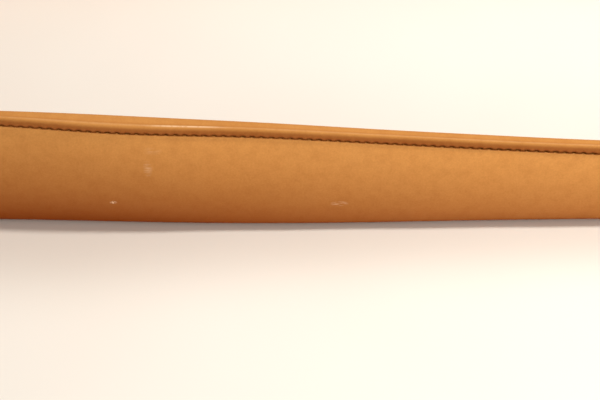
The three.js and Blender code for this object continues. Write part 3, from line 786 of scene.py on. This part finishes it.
def make_stiffener():
    """The board behind the outer wall."""
    s = np.linspace(POCKET_START, POCKET_END, 132)
    height = top_at(s) * BOARD_RISE - BOARD_BOTTOM
    outer = []
    for share in np.linspace(0, 1, 14):
        z = BOARD_BOTTOM + height * share
        outer.append((front_face(s, z) - LEATHER - BOARD_CLEARANCE, z))
    inner = [(n - BOARD_THICKNESS, z) for n, z in reversed(outer)]
    grid = np.stack([place(s, n, z) for n, z in outer + inner], axis=1)
    board = mesh_of("stiffener_board", *swept(grid))
    dress(board, BOARD, "belt_body", "stiffener_board", "front_stiffener")


def make_lining():
    """The cloth pocket, folded along its bottom and open to the zip."""
    s = np.linspace(POCKET_START, POCKET_END, 261)
    low = LINING_BOTTOM + LINING_FOLD
    back = front_face(s, 8) - LEATHER - LINING_CLEARANCE
    middle, half = (LINING_INNER_FACE + back) / 2, (back - LINING_INNER_FACE) / 2
    columns = []
    for z in np.linspace(LINING_INNER_TOP, low, 9):
        columns.append((LINING_INNER_FACE + 0.12 * np.sin(s / 9 + z), z))
    for turn in np.linspace(0.2, math.pi - 0.2, 9):
        columns.append((middle - half * math.cos(turn), low - LINING_FOLD * math.sin(turn)))
    for share in np.linspace(0, 1, 22):
        z = low + (top_at(s) * LINING_RISE - low) * share
        ripple = 0.1 * np.sin(s / 8 + z / 3) * math.sin(math.pi * share)
        columns.append((front_face(s, z) - LEATHER - LINING_CLEARANCE + ripple, z))
    grid = np.stack([place(s, n, z) for n, z in columns], axis=1)
    lining = mesh_of("cloth_pocket", grid, grid_faces(len(s), len(columns), around=False), 180)
    thicken(lining, LINING_THICKNESS, 0)
    dress(lining, LINING_CLOTH, "belt_body", "lining_cloth", "pocket_lining")


# ---- the zip

TAPE_LENGTH = 248
TEETH_LENGTH = 228
TOOTH_PITCH = 2.2
TOOTH_MARGIN = 1.35
WINDOW_STITCH = 7.4  # from the zip's middle line
WINDOW_END_STITCH = WINDOW_LENGTH / 2 + 1.9
WALL_STITCH_DEPTH = -INNER_FACE + 0.2
STOP_X = TEETH_LENGTH / 2 + 1.7
CORD_Z = 2.25
CORD_DEPTH = 1.15
CORD_RADIUS = 0.56
TAPE_SECTION = [  # z and depth round the tape, with a raised line along its middle
    (3.0, 0.02), (3.35, 0.0), (6, 0.03), (9.2, 0.0), (9.5, 0.12), (9.5, 0.38), (9.2, 0.5), (6, 0.5),
    (5.2, 0.56), (5.0, 0.5), (4.6, 0.5), (4.4, 0.56), (4.2, 0.5), (3.35, 0.5), (3.0, 0.46),
]


def zip_points(x, depth, z):
    """Points in millimetres, from places given from the zip's centre."""
    return points_at(LOOP_X + ZIP_X + x, LOOP_Y - BEND_RADIUS + depth, ZIP_Z + z)


def mirrored(points):
    """An outline from its half above the zip's middle line."""
    return [*points, *[(x, -z) for x, z in reversed(points)]]


def slab(outline, levels, middle=None, side=1):
    """A solid from an [x, z] outline and [depth, size] levels, sized about its middle."""
    outline = np.asarray(outline, float)
    if middle is None:
        middle = (outline.max(axis=0) + outline.min(axis=0)) / 2
    rows = []
    for depth, size in levels:
        shape = middle + (outline - middle) * size
        rows.append(zip_points(shape[:, 0], depth, side * shape[:, 1]))
    return swept(rows)


def make_tape(label, side):
    """One side's woven tape, with the cord that the teeth grip along its inner edge."""
    x = np.linspace(-TAPE_LENGTH / 2, TAPE_LENGTH / 2, 249)
    lines = []
    for z, depth in TAPE_SECTION:
        wave = 0.05 * np.sin(x / 6.0 + z)
        lines.append(zip_points(x, TAPE_DEPTH + depth + wave, side * z))
    tape = swept(np.stack(lines, axis=1))
    x = np.linspace(-TEETH_LENGTH / 2, TEETH_LENGTH / 2, 457)
    ribbed = CORD_RADIUS + 0.05 * np.cos(2 * math.pi * x)
    lines = []
    for angle in round_angles(12):
        z = CORD_Z + (ribbed + 0.18) * math.cos(angle)
        lines.append(zip_points(x, CORD_DEPTH + ribbed * math.sin(angle), side * z))
    piece = assembled(f"zip_tape_{label}_woven", [tape, swept(np.stack(lines, axis=1))], 60)
    dress(piece, TAPE_CLOTH, "belt_body", "zip_tape", f"zip_tape_{label}")


def tooth_outline():
    """A tooth seen square on, as [x, z] points: a round head, a narrow neck and a clamp's shoulders."""
    right = [(0.26, -0.56), (0.43, -0.36), (0.48, -0.02), (0.42, 0.32), (0.38, 0.6), (0.48, 0.95),
             (0.64, 1.25), (0.66, 2.4), (0.54, 2.65)]
    return np.array([(0.0, -0.6), *right, *[(-x, z) for x, z in reversed(right)]])


def make_teeth(label, side):
    """One side's teeth, each a separate casting clamped on the tape's cord."""
    outline = tooth_outline()
    levels = [(0.3, 0.72), (0.4, 0.92), (0.56, 1.0), (1.74, 1.0), (1.9, 0.92), (2.0, 0.72)]
    first = -TEETH_LENGTH / 2 + TOOTH_MARGIN + (0 if side > 0 else TOOTH_PITCH / 2)
    solids = []
    for x in np.arange(first, TEETH_LENGTH / 2 - 0.5, TOOTH_PITCH):
        shape = outline + (x, 0)
        solids.append(slab(shape, levels, shape.mean(axis=0), side))
    cast(f"zip_teeth_{label}_cast", solids, "belt_body", "zip_metal", f"zip_teeth_{label}")


def sew_to_wall(name, x, z, forward, *nodes):
    """A row of stitches through the inner wall, beside the zip window."""
    centres = zip_points(x, WALL_STITCH_DEPTH, z) * MM
    sew(name, centres, forward, (0.0, 1.0, 0.0), *nodes)


def make_zip_seam(label, side):
    """The stitches that hold one tape, above or below the window."""
    x = np.arange(-WINDOW_LENGTH / 2 + 1.6, WINDOW_LENGTH / 2, STITCH_PITCH)
    sew_to_wall(f"zip_stitches_{label}", x, side * WINDOW_STITCH, (1.0, 0.0, 0.0), f"zip_thread_{label}")


def make_zip_end_seams():
    """The stitches across the window's two ends."""
    z = np.arange(-WINDOW_STITCH + 1.2, WINDOW_STITCH, STITCH_PITCH * 0.98)
    for label, side in [("closed", 1), ("open", -1)]:
        sew_to_wall(f"zip_end_stitches_{label}", side * WINDOW_END_STITCH, z, (0.0, 0.0, 1.0))


def make_stops():
    """The two metal stops, each clamped over both cords with a pressed groove."""
    levels = [(0.3, 0.9), (0.42, 1.0), (1.8, 1.0), (2.1, 0.93), (2.28, 0.8), (2.3, 0.4), (2.12, 0.3)]
    outline = rounded_rectangle(1.3, 2.6, 0.45)
    for label, x in [("closed", STOP_X), ("open", -STOP_X)]:
        rows = [zip_points(x + outline[:, 0] * size, depth, outline[:, 1] * (0.5 + size / 2))
                for depth, size in levels]
        cast(f"zip_stop_{label}", [swept(rows)], "belt_body", "zip_metal", f"zip_{label}_end_stop")


SLIDER_X = 104
PLATE_DEPTH = 2.3
FLANGE_DEPTH = 2.55
PIN_DEPTH = 5.28
SLIDER_HALF = [(-5.0, 1.0), (-4.9, 2.6), (-3.9, 3.9), (-2.2, 4.2), (1.8, 4.2), (3.4, 3.8), (4.6, 2.5),
               (5.0, 0.9)]
PULLER_HALF = [(0.5, 1.2), (0.2, 2.3), (-1.5, 2.7), (-5.0, 2.6), (-8.2, 1.7), (-11.0, 2.3), (-13.4, 2.7),
               (-15.3, 2.2), (-16.0, 0.9)]


def slider_flange(side):
    """A turned-down side of the slider's plate."""
    path = eased(resampled([(-4.0, 3.35), (-2.6, 3.72), (0, 3.78), (2.2, 3.7), (3.6, 3.2)], 0.4), 4)
    rows = []
    for share, (x, z) in zip(np.linspace(-1, 1, len(path)), path):
        size = 0.75 + 0.25 * math.sqrt(1 - share**2)
        section = rounded_rectangle(0.42 * size, 0.85 * size, 0.25 * size, 4)
        rows.append(zip_points(SLIDER_X + x, FLANGE_DEPTH + section[:, 1], side * (z + section[:, 0])))
    return swept(rows)


def slider_bridge():
    """The arch over the slider's plate, which the puller hangs on."""
    line = [(-3.1, 3.2), (-3.05, 4.9), *arc(-1.9, 5.35, 1.15, 170, 95, 6), *arc(1.9, 5.35, 1.15, 85, 10, 6),
            (3.05, 4.9), (3.1, 3.2)]

    def section(i, share):
        return rounded_rectangle(1.2 - 0.25 * math.sin(math.pi * share), 0.4, 0.3, 4)

    rows = along_path(eased(resampled(line, 0.35)), section)
    x, depth, z = np.moveaxis(rows, -1, 0)
    return swept(zip_points(SLIDER_X + x, depth, z))


def make_slider():
    """The slider: a domed plate with turned-down sides and a bridge, and a back plate under the teeth."""
    outline = smooth_closed([(SLIDER_X + x, z) for x, z in mirrored(SLIDER_HALF)], 56)
    dome = [(0, 0.95), (0.12, 1.0), (0.8, 1.0), (1.05, 0.95), (1.2, 0.84), (1.28, 0.6)]
    plate = slab(outline, [(PLATE_DEPTH + depth, size) for depth, size in dome])
    solids = [plate, slider_flange(1), slider_flange(-1), slider_bridge()]
    cast("zip_slider_cast", solids, "zip_slider", "zip_metal", "zip_slider_body")
    under = slab(outline, [(-0.55, 0.9), (-0.45, 1.0), (-0.1, 1.0), (0.0, 0.94)])
    cast("zip_slider_back_cast", [under], "zip_slider", "zip_metal", "zip_slider_back_plate")


def make_puller():
    """The puller: a waisted plate with a window for the bridge and an eye for the leather tab."""
    outline = smooth_closed([(SLIDER_X + x, z) for x, z in mirrored(PULLER_HALF)], 72)
    edges = [(-0.4, 0.93), (-0.33, 0.98), (-0.2, 1.0), (0.2, 1.0), (0.33, 0.98), (0.4, 0.93)]
    plate = slab(outline, [(PIN_DEPTH + depth, size) for depth, size in edges])
    puller = assembled("zip_puller_plate", [plate], 45)
    coat(puller, BRASS)
    cutters = []
    for start, end, half_width in [(-6.0, -0.45, 1.65), (-14.6, -11.4, 1.85)]:
        hole = rounded_rectangle((end - start) / 2, half_width, 0.9, 6)
        x = SLIDER_X + (start + end) / 2 + hole[:, 0]
        cutters.append(cutter([zip_points(x, PIN_DEPTH + depth, hole[:, 1]) for depth in (-2, 2)], BRASS))
    punch(puller, cutters)
    soft = puller.modifiers.new("soft_edges", "BEVEL")
    soft.width = 0.1 * MM
    soft.segments = 2
    soft.limit_method = "ANGLE"
    soft.angle_limit = math.radians(50)
    apply_modifiers(puller, 45)
    dress(puller, BRASS, "zip_pull", "zip_metal", "zip_puller")


TAB_HALF_GAP = 0.5
TAB_HALF_THICKNESS = 0.33
TAB_HALF_WIDTH = 1.7


def make_pull_tab():
    """A narrow leather tab, looped through the puller's eye and sewn to itself."""
    low, high = (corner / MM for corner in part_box("zip_pull_tab"))
    middle = (low + high) / 2
    end_x, turn_x = low.x, high.x - 1.6
    line = [(end_x, TAB_HALF_GAP), (turn_x - 4.5, TAB_HALF_GAP), (turn_x - 1.6, 1.15),
            *arc(turn_x, 0, 1.25, 80, -80, 9),
            (turn_x - 1.6, -1.15), (turn_x - 4.5, -TAB_HALF_GAP), (end_x, -TAB_HALF_GAP)]
    path = eased(resampled(line, 0.35), 4)

    def section(i, share):
        from_end = min(path[i][0] - end_x, 1.7)
        narrow = math.sqrt(max(0.0, 1 - ((1.7 - from_end) / 1.75) ** 2))
        return rounded_rectangle(TAB_HALF_WIDTH * max(narrow, 0.35), TAB_HALF_THICKNESS, 0.16, 4)

    tab = assembled("leather_pull_tab", [swept(along_path(path, section) + (0, middle.y, middle.z))], 45)
    dress(tab, STRAP_LEATHER, "zip_pull", "strap_leather", "zip_pull_tab")
    x = np.arange(end_x + 2.2, turn_x - 5, 2.4)
    for label, out in [("front", 1), ("back", -1)]:
        y = middle.y + out * (TAB_HALF_GAP + TAB_HALF_THICKNESS + 0.01)
        centres, forward, up = points_at(x, y, middle.z) * MM, (1.0, 0.0, 0.0), (0.0, out, 0.0)
        sew(f"pull_tab_stitches_{label}", centres, forward, up, body="zip_pull", size=(1.9, 0.22))


# ---- the billets

EDGE_ROUND = 0.9
CREASE_DEPTH = 0.22
SKIVED_ROWS = 12  # at the folded end, pared thin
ROOT_BOX = (355.0, 376.5, 8.0, 27.0)  # s and z of the stitching's near and far, low and high rows
SLOT_START = 108
SLOT_HALF_HEIGHT = 3.2
FOLD_END = 72
FLEX_LENGTH = 14


def strap_section(half_thickness, shrink):
    """A strap's outline as [across, out] points, and which of its points lie on the painted edges.

    A crease runs along both edges of each face. Where shrink narrows the strap, the creases fade out.
    """
    half_width = BILLET_WIDTH / 2
    round_by = min(EDGE_ROUND, half_thickness * 0.8)
    flat = half_width - round_by
    fade = min(1.0, max(0.0, (shrink - 0.45) / 0.3))
    crease = [(half_width - 2.1, 0), (half_width - 2.4, -CREASE_DEPTH * fade), (half_width - 2.7, 0)]
    face = [(flat, 0), *crease, (0, 0.06 * fade), *[(-a, b) for a, b in reversed(crease)]]
    points, painted = [], []
    for out in (1, -1):
        points += [(out * a, out * (half_thickness + b)) for a, b in face]
        painted += [False] * len(face)
        for turn in np.linspace(0, math.pi, 9):
            straight = (half_thickness - round_by) * np.sign(round(math.cos(turn), 6))
            around = flat + round_by * math.sin(turn)
            points.append((-out * around, out * (straight + round_by * math.cos(turn))))
            painted.append(True)
    return np.array(points) * (shrink, 1), painted


def two_tone(piece, painted):
    """Leather, with edge paint on the faces between painted outline points."""
    coat(piece, STRAP_LEATHER, EDGE_PAINT)
    for face in piece.data.polygons:
        face.material_index = int(all(painted[v % len(painted)] for v in face.vertices))


def make_strap(name, centres, outs, half_thicknesses, shrinks):
    """A strap along points and outward directions given in plan, in millimetres."""
    rows = []
    for centre, out, half_thickness, shrink in zip(centres, outs, half_thicknesses, shrinks):
        outline, painted = strap_section(half_thickness, shrink)
        plan = centre + outline[:, 1:2] * out
        rows.append(np.column_stack([plan, BILLET_Z + outline[:, 0]]))
    strap = assembled(name, [swept(rows)], 50)
    two_tone(strap, painted)
    return strap


def fit_strap(strap, end, body, *nodes):
    """Hides the CAD nodes a strap stands for and bakes its transform. The span past the body's tail end (1)
    or buckle end (-1) is worked out but not used, and body is not used.
    """
    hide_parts(*nodes)
    flex = (BODY_HALF_LENGTH, BODY_HALF_LENGTH + FLEX_LENGTH)
    start, finish = (tuple(place(end * s, 0, BILLET_Z)) for s in flex)
    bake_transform(strap)


def hole_cutter(s):
    """A round punch through the tail."""
    x, y, out_x, out_y = loop_at(s)
    angles = round_angles(32)
    across, up = HOLE_RADIUS * np.cos(angles), HOLE_RADIUS * np.sin(angles)
    rows = [points_at(x + out_x * n - out_y * across, y + out_y * n + out_x * across, BILLET_Z + up)
            for n in (-4, 4)]
    return cutter(rows, EDGE_PAINT)


def make_tail():
    """The punched tail strap, from its root between the body's walls to its pointed tip."""
    tip_start = TAIL_END - TIP_LENGTH
    s = np.concatenate([np.arange(ROOT_START, tip_start, 1.0), np.linspace(tip_start, TAIL_END, 26)])
    x, y, out_x, out_y = loop_at(s)
    along_tip = np.clip((s - tip_start) / TIP_LENGTH, 0, 1)
    shrinks = np.sqrt(np.clip(1 - along_tip**1.75, 0.004, 1))
    half_thicknesses = np.full_like(s, BILLET_THICKNESS / 2)
    centres, outs = np.column_stack([x, y]), np.column_stack([out_x, out_y])
    strap = make_strap("tail_strap", centres, outs, half_thicknesses, shrinks)
    punch(strap, [hole_cutter(hole) for hole in HOLES])
    fit_strap(strap, 1, "tail_strap", "tail_billet", "tail_billet_root")


def back_points(x, n, z=0.0):
    """Points in millimetres, from places given from the middle of the back side."""
    return points_at(LOOP_X + x, LOOP_Y + BEND_RADIUS + n, BILLET_Z + z)


def make_buckle_strap():
    """The strap that holds the buckle: out of the body, round the bar and back along its inside."""
    root_x = -SIDE_LENGTH / 2 + BACK_END + ROOT_START
    layer = BILLET_THICKNESS + 0.12
    line = [(root_x, 0), (60, 0), *arc(BAR_X, BAR_N, -BAR_N, 90, -90, 25), (BAR_X - 6, 2 * BAR_N + 0.5),
            (BAR_X - 12, -layer - 0.6), (BAR_X - 17, -layer), (FOLD_END, -layer)]
    path = eased(resampled(line, 0.8))
    outs = path_normals(path)
    half_thicknesses = np.full(len(path), BILLET_THICKNESS / 2)
    half_thicknesses[-SKIVED_ROWS:] = np.linspace(BILLET_THICKNESS / 2, 0.7, SKIVED_ROWS)
    path[:, 1] += BILLET_THICKNESS / 2 - half_thicknesses
    centres = path + back_points(0, 0)[:2]
    strap = make_strap("buckle_strap_folded", centres, outs, half_thicknesses, np.ones(len(path)))
    slot_end = BAR_X + 12
    outline = [(slot_end, -SLOT_HALF_HEIGHT), (slot_end, SLOT_HALF_HEIGHT),
               *arc(SLOT_START + SLOT_HALF_HEIGHT, 0, SLOT_HALF_HEIGHT, 90, 270, 17)]
    x, z = np.transpose(outline)
    punch(strap, [cutter([back_points(x, n, z) for n in (-12, 5)], EDGE_PAINT)])
    fit_strap(strap, -1, "buckle_strap", "buckle_billet", "buckle_billet_root")


def make_root_stitches():
    """The boxes of stitching, on both walls, that hold each billet's root."""
    near, far, low, high = ROOT_BOX
    along = np.arange(near, far, STITCH_PITCH) + 0.6
    up_rows = np.arange(low + 2.0, high - 0.5, STITCH_PITCH)
    spots = [(s, z, True) for s in along for z in (low, high)]
    spots += [(s, z, False) for z in up_rows for s in (near, far)]
    for label, end in [("tail", 1), ("buckle", -1)]:
        centres, forwards, ups = [], [], []
        for s, z, lengthwise in spots:
            s = end * s
            _, _, out_x, out_y = loop_at(s)
            for n, wall in [(front_face(s, z) + 0.02, 1), (INNER_FACE - 0.02, -1)]:
                centres.append(place(s, *end_pinch(s, n, z)))
                forwards.append((-out_y, out_x, 0.0) if lengthwise else (0.0, 0.0, 1.0))
                ups.append((out_x * wall, out_y * wall, 0.0))
        sew(f"root_stitches_{label}", centres, forwards, ups)


# ---- the buckle and its fittings

FRAME_END_X = 143.0
FRAME_HALF_HEIGHT = 15.5
FRAME_CORNER = 5.0
RAIL_HALF = (1.7, 2.0)  # half the rail's size along n, and in the frame's own plane
BOSS = [(0.05, 13.5), (2.5, 13.5), (3.0, 13.75), (3.2, 14.2), (3.2, 16.7), (2.9, 17.3), (2.3, 17.5),
        (0.05, 17.5)]
BAR = [(0.05, -16.3), (1.4, -16.3), (1.6, -16.1), (1.6, 16.1), (1.4, 16.3), (0.05, 16.3)]
PRONG_LINE = [(0.5, 2.5), (6, 2.25), (16, 2.4), (22, 2.85), (24.5, 2.95), (26.6, 2.7)]  # from the bar
PRONG_EYE_RADIUS = 2.66


def make_frame():
    """Three sides of a rounded rectangle, oval in section, with a boss for each end of the bar."""
    corner_x, corner_z = FRAME_END_X - FRAME_CORNER, FRAME_HALF_HEIGHT - FRAME_CORNER
    start_x = BAR_X - 2.4
    line = [(start_x, -FRAME_HALF_HEIGHT), *arc(corner_x, -corner_z, FRAME_CORNER, -90, 0, 12),
            *arc(corner_x, corner_z, FRAME_CORNER, 0, 90, 12), (start_x, FRAME_HALF_HEIGHT)]
    path = resampled(line, 1.0)
    angles = round_angles(24)
    sines, cosines = np.sin(angles), np.cos(angles)
    across = RAIL_HALF[0] * np.sign(sines) * np.abs(sines) ** 0.75
    out = RAIL_HALF[1] * np.sign(cosines) * np.abs(cosines) ** 0.85

    def section(i, share):
        from_end = min(i, len(path) - 1 - i)
        return np.column_stack([across, out]) * min(1.0, 0.72 + 0.14 * from_end)

    x, z, n = np.moveaxis(along_path(path, section), -1, 0)
    rows = back_points(x, BAR_N + n, z)
    bosses = [turned([(radius, side * z) for radius, z in BOSS], back_points(BAR_X, BAR_N), "Z")
              for side in (1, -1)]
    cast("buckle_frame_cast", [swept(rows), *bosses], "frame", "buckle_metal", "buckle_frame", 50)


def make_bar():
    bar = turned(BAR, back_points(BAR_X, BAR_N), "Z")
    cast("buckle_bar_round", [bar], "frame", "buckle_metal", "buckle_bar", 40)


def make_prong():
    """A tapered prong whose root is rolled round the bar."""
    path = eased(resampled([(BAR_X + x, BAR_N + n) for x, n in PRONG_LINE], 0.7), 5)

    def section(i, share):
        half_width = 2.1 - 0.95 * share**1.3
        tip = math.sqrt(max(0.0, 1 - (max(0.0, share - 0.93) / 0.07) ** 2))
        half_thickness = 0.9 * max(tip, 0.35)
        return rounded_rectangle(half_width * max(tip, 0.4), half_thickness, 0.62 / 0.9 * half_thickness)

    arm = swept(back_points(*np.moveaxis(along_path(path, section), -1, 0)))
    outline = rounded_rectangle(2.2, 0.72, 0.35, 4)
    rows = []
    for angle in round_angles(40):
        z, radius = outline[:, 0], PRONG_EYE_RADIUS + outline[:, 1]
        rows.append(back_points(BAR_X + radius * math.cos(angle), BAR_N + radius * math.sin(angle), z))
    cast("buckle_prong_cast", [arm, swept(rows, looped=True)], "prong", "buckle_metal", "buckle_prong", 50)


KEEPER_WALL = 1.8
KEEPER_HALF_WIDTH = 5.0
KEEPER_CORNER = 1.5
KEEPER_OUTER = BILLET_THICKNESS / 2 + 3.9  # how far out the inside of a keeper's outer run lies


def keeper_section():
    """A keeper's outline as [along the belt, out] points, and which of its points are painted edges."""
    half_wall = KEEPER_WALL / 2
    crease = KEEPER_HALF_WIDTH - 1.6
    grooved = [(crease + 0.25, 0), (crease, -0.18), (crease - 0.25, 0), (0, 0.04)]
    grooved += [(-a, b) for a, b in reversed(grooved[:3])]
    corners = rounded_rectangle(KEEPER_HALF_WIDTH, half_wall, 0.5).tolist()
    outline = corners[:5] + [(a, half_wall + b) for a, b in grooved] + corners[5:]
    return outline, [True] * 5 + [False] * len(grooved) + [True] * 15


def make_keeper(name, x, inner_n, body, node):
    """A leather loop round the strap, creased along both edges."""
    low, high = inner_n - KEEPER_WALL / 2, KEEPER_OUTER + KEEPER_WALL / 2
    half = BILLET_WIDTH / 2 + 0.4 + KEEPER_WALL / 2
    middle, loop_half = (high + low) / 2, (high - low) / 2
    loop = rounded_rectangle(loop_half, half, KEEPER_CORNER, 7) + (middle, 0)
    path = resampled([*loop, loop[0]], 0.8)[:-1]
    ahead = unit(np.roll(path, -1, axis=0) - np.roll(path, 1, axis=0))
    outline, painted = keeper_section()
    across, out = np.transpose(outline)
    rows = []
    for (n, z), (ahead_n, ahead_z) in zip(path, ahead):
        swell = 0.22 * math.cos(math.pi * z / (2 * half)) * (n > 0)
        rows.append(back_points(x + across, n + ahead_z * (out + swell), z - ahead_n * out))
    keeper = assembled(name, [swept(rows, looped=True)], 55)
    two_tone(keeper, painted)
    fit(keeper, body, "strap_leather", node)


SCREW_X = (101, 79)
POST_FACE = BILLET_THICKNESS / 2
CAP_FACE = -BILLET_THICKNESS * 1.5 - 0.12
POST_HEAD = [(0.05, 0.02), (4.2, 0.02), (4.45, 0.25), (4.5, 0.5), (4.35, 0.85), (3.9, 1.12), (3.3, 1.2),
             (3.1, 1.12), (2.9, 1.2), (1.8, 1.42), (0.05, 1.5)]
CAP_HEAD = [(0.05, 0.02), (4.2, 0.02), (4.45, 0.25), (4.5, 0.6), (4.3, 1.05), (3.9, 1.28), (0.05, 1.34)]
SCREW_SLOT = [(4.8, 0.42), (-4.8, 0.42), (-4.8, -0.42), (4.8, -0.42)]


def make_screws():
    """Chicago screws: a domed post head outside, and a slotted cap inside."""
    for number, x in enumerate(SCREW_X, 1):
        head = turned(POST_HEAD, back_points(x, POST_FACE), "Y")
        post = f"screw_post_{number}"
        cast(f"screw_head_outer_{number}", [head], "buckle_strap", "buckle_metal", post, 40)
        head = turned([(radius, -height) for radius, height in CAP_HEAD], back_points(x, CAP_FACE), "Y")
        cap = assembled(f"screw_head_inner_{number}", [head])
        coat(cap, BRASS)
        turn = math.radians(25 + 40 * number)
        a, b = np.transpose(SCREW_SLOT)
        slot_x, slot_z = a * math.cos(turn) - b * math.sin(turn), a * math.sin(turn) + b * math.cos(turn)
        rows = [back_points(x + slot_x, CAP_FACE - depth, slot_z) for depth in (0.75, 3)]
        punch(cap, [cutter(rows, BRASS)])
        dress(cap, BRASS, "buckle_strap", "buckle_metal", f"screw_cap_{number}")


# ---- camera, floor and light

CAMERA_LENS = 95
CAMERA_ELEVATION = math.radians(45.5)
CAMERA_DISTANCE = 0.545
FLOOR_HALF = 6.0
LIGHTS_AT = (0.05, -0.07, 0)
WORLD_COLOUR = (1.0, 0.97, 0.93, 1)
WORLD_STRENGTH = 0.42


def aim(thing, at):
    direction = Vector(at) - thing.location
    thing.rotation_euler = direction.to_track_quat("-Z", "Y").to_euler()


def make_camera():
    camera = link("camera", bpy.data.cameras.new("camera"))
    camera.data.lens = CAMERA_LENS
    target = Vector(front_point(LOOP_X, 14))
    back = Vector((0, -math.cos(CAMERA_ELEVATION), math.sin(CAMERA_ELEVATION)))
    camera.location = target + back * CAMERA_DISTANCE
    aim(camera, target)
    bpy.context.scene.camera = camera


def make_floor():
    corners = [(-FLOOR_HALF, -FLOOR_HALF, 0), (FLOOR_HALF, -FLOOR_HALF, 0), (FLOOR_HALF, FLOOR_HALF, 0),
               (-FLOOR_HALF, FLOOR_HALF, 0)]
    floor = mesh_of("floor", corners, [(0, 1, 2, 3)])
    coat(floor, FLOOR_WHITE)


def make_light(name, location, size, power, colour):
    light = link(name, bpy.data.lights.new(name, "AREA"))
    light.data.shape = "RECTANGLE"
    light.data.size, light.data.size_y = size
    light.data.energy = power
    light.data.color = colour
    light.location = location
    aim(light, LIGHTS_AT)


def make_world():
    world = bpy.data.worlds.new("studio")
    bpy.context.scene.world = world
    world.use_nodes = True
    background = world.node_tree.nodes["Background"]
    background.inputs["Color"].default_value = WORLD_COLOUR
    background.inputs["Strength"].default_value = WORLD_STRENGTH


make_camera()
make_floor()
make_world()
make_light("overhead", (0.36, -0.03, 0.72), (0.06, 0.04), 3.9, (1.0, 0.96, 0.91))
make_light("window", (0.35, 0.55, 1.05), (0.9, 0.5), 5.3, (1.0, 0.97, 0.93))
make_light("front", (0.55, -0.7, 0.3), (0.5, 0.3), 2.7, (1.0, 0.96, 0.91))
make_body()
make_binding()
make_seam()
make_stiffener()
make_lining()
for label, side in [("upper", 1), ("lower", -1)]:
    make_tape(label, side)
    make_teeth(label, side)
    make_zip_seam(label, side)
make_zip_end_seams()
make_stops()
make_slider()
make_puller()
make_pull_tab()
make_tail()
make_buckle_strap()
make_root_stitches()
make_frame()
make_bar()
make_prong()
make_keeper("keeper_fixed_loop", 90, -BILLET_THICKNESS * 1.5 - 0.6, "buckle_strap", "fixed_keeper")
make_keeper("keeper_sliding_loop", 57, -BILLET_THICKNESS / 2 - 0.3, "keeper", "sliding_keeper")
make_screws()

bpy.context.scene.view_settings.view_transform = "Standard"
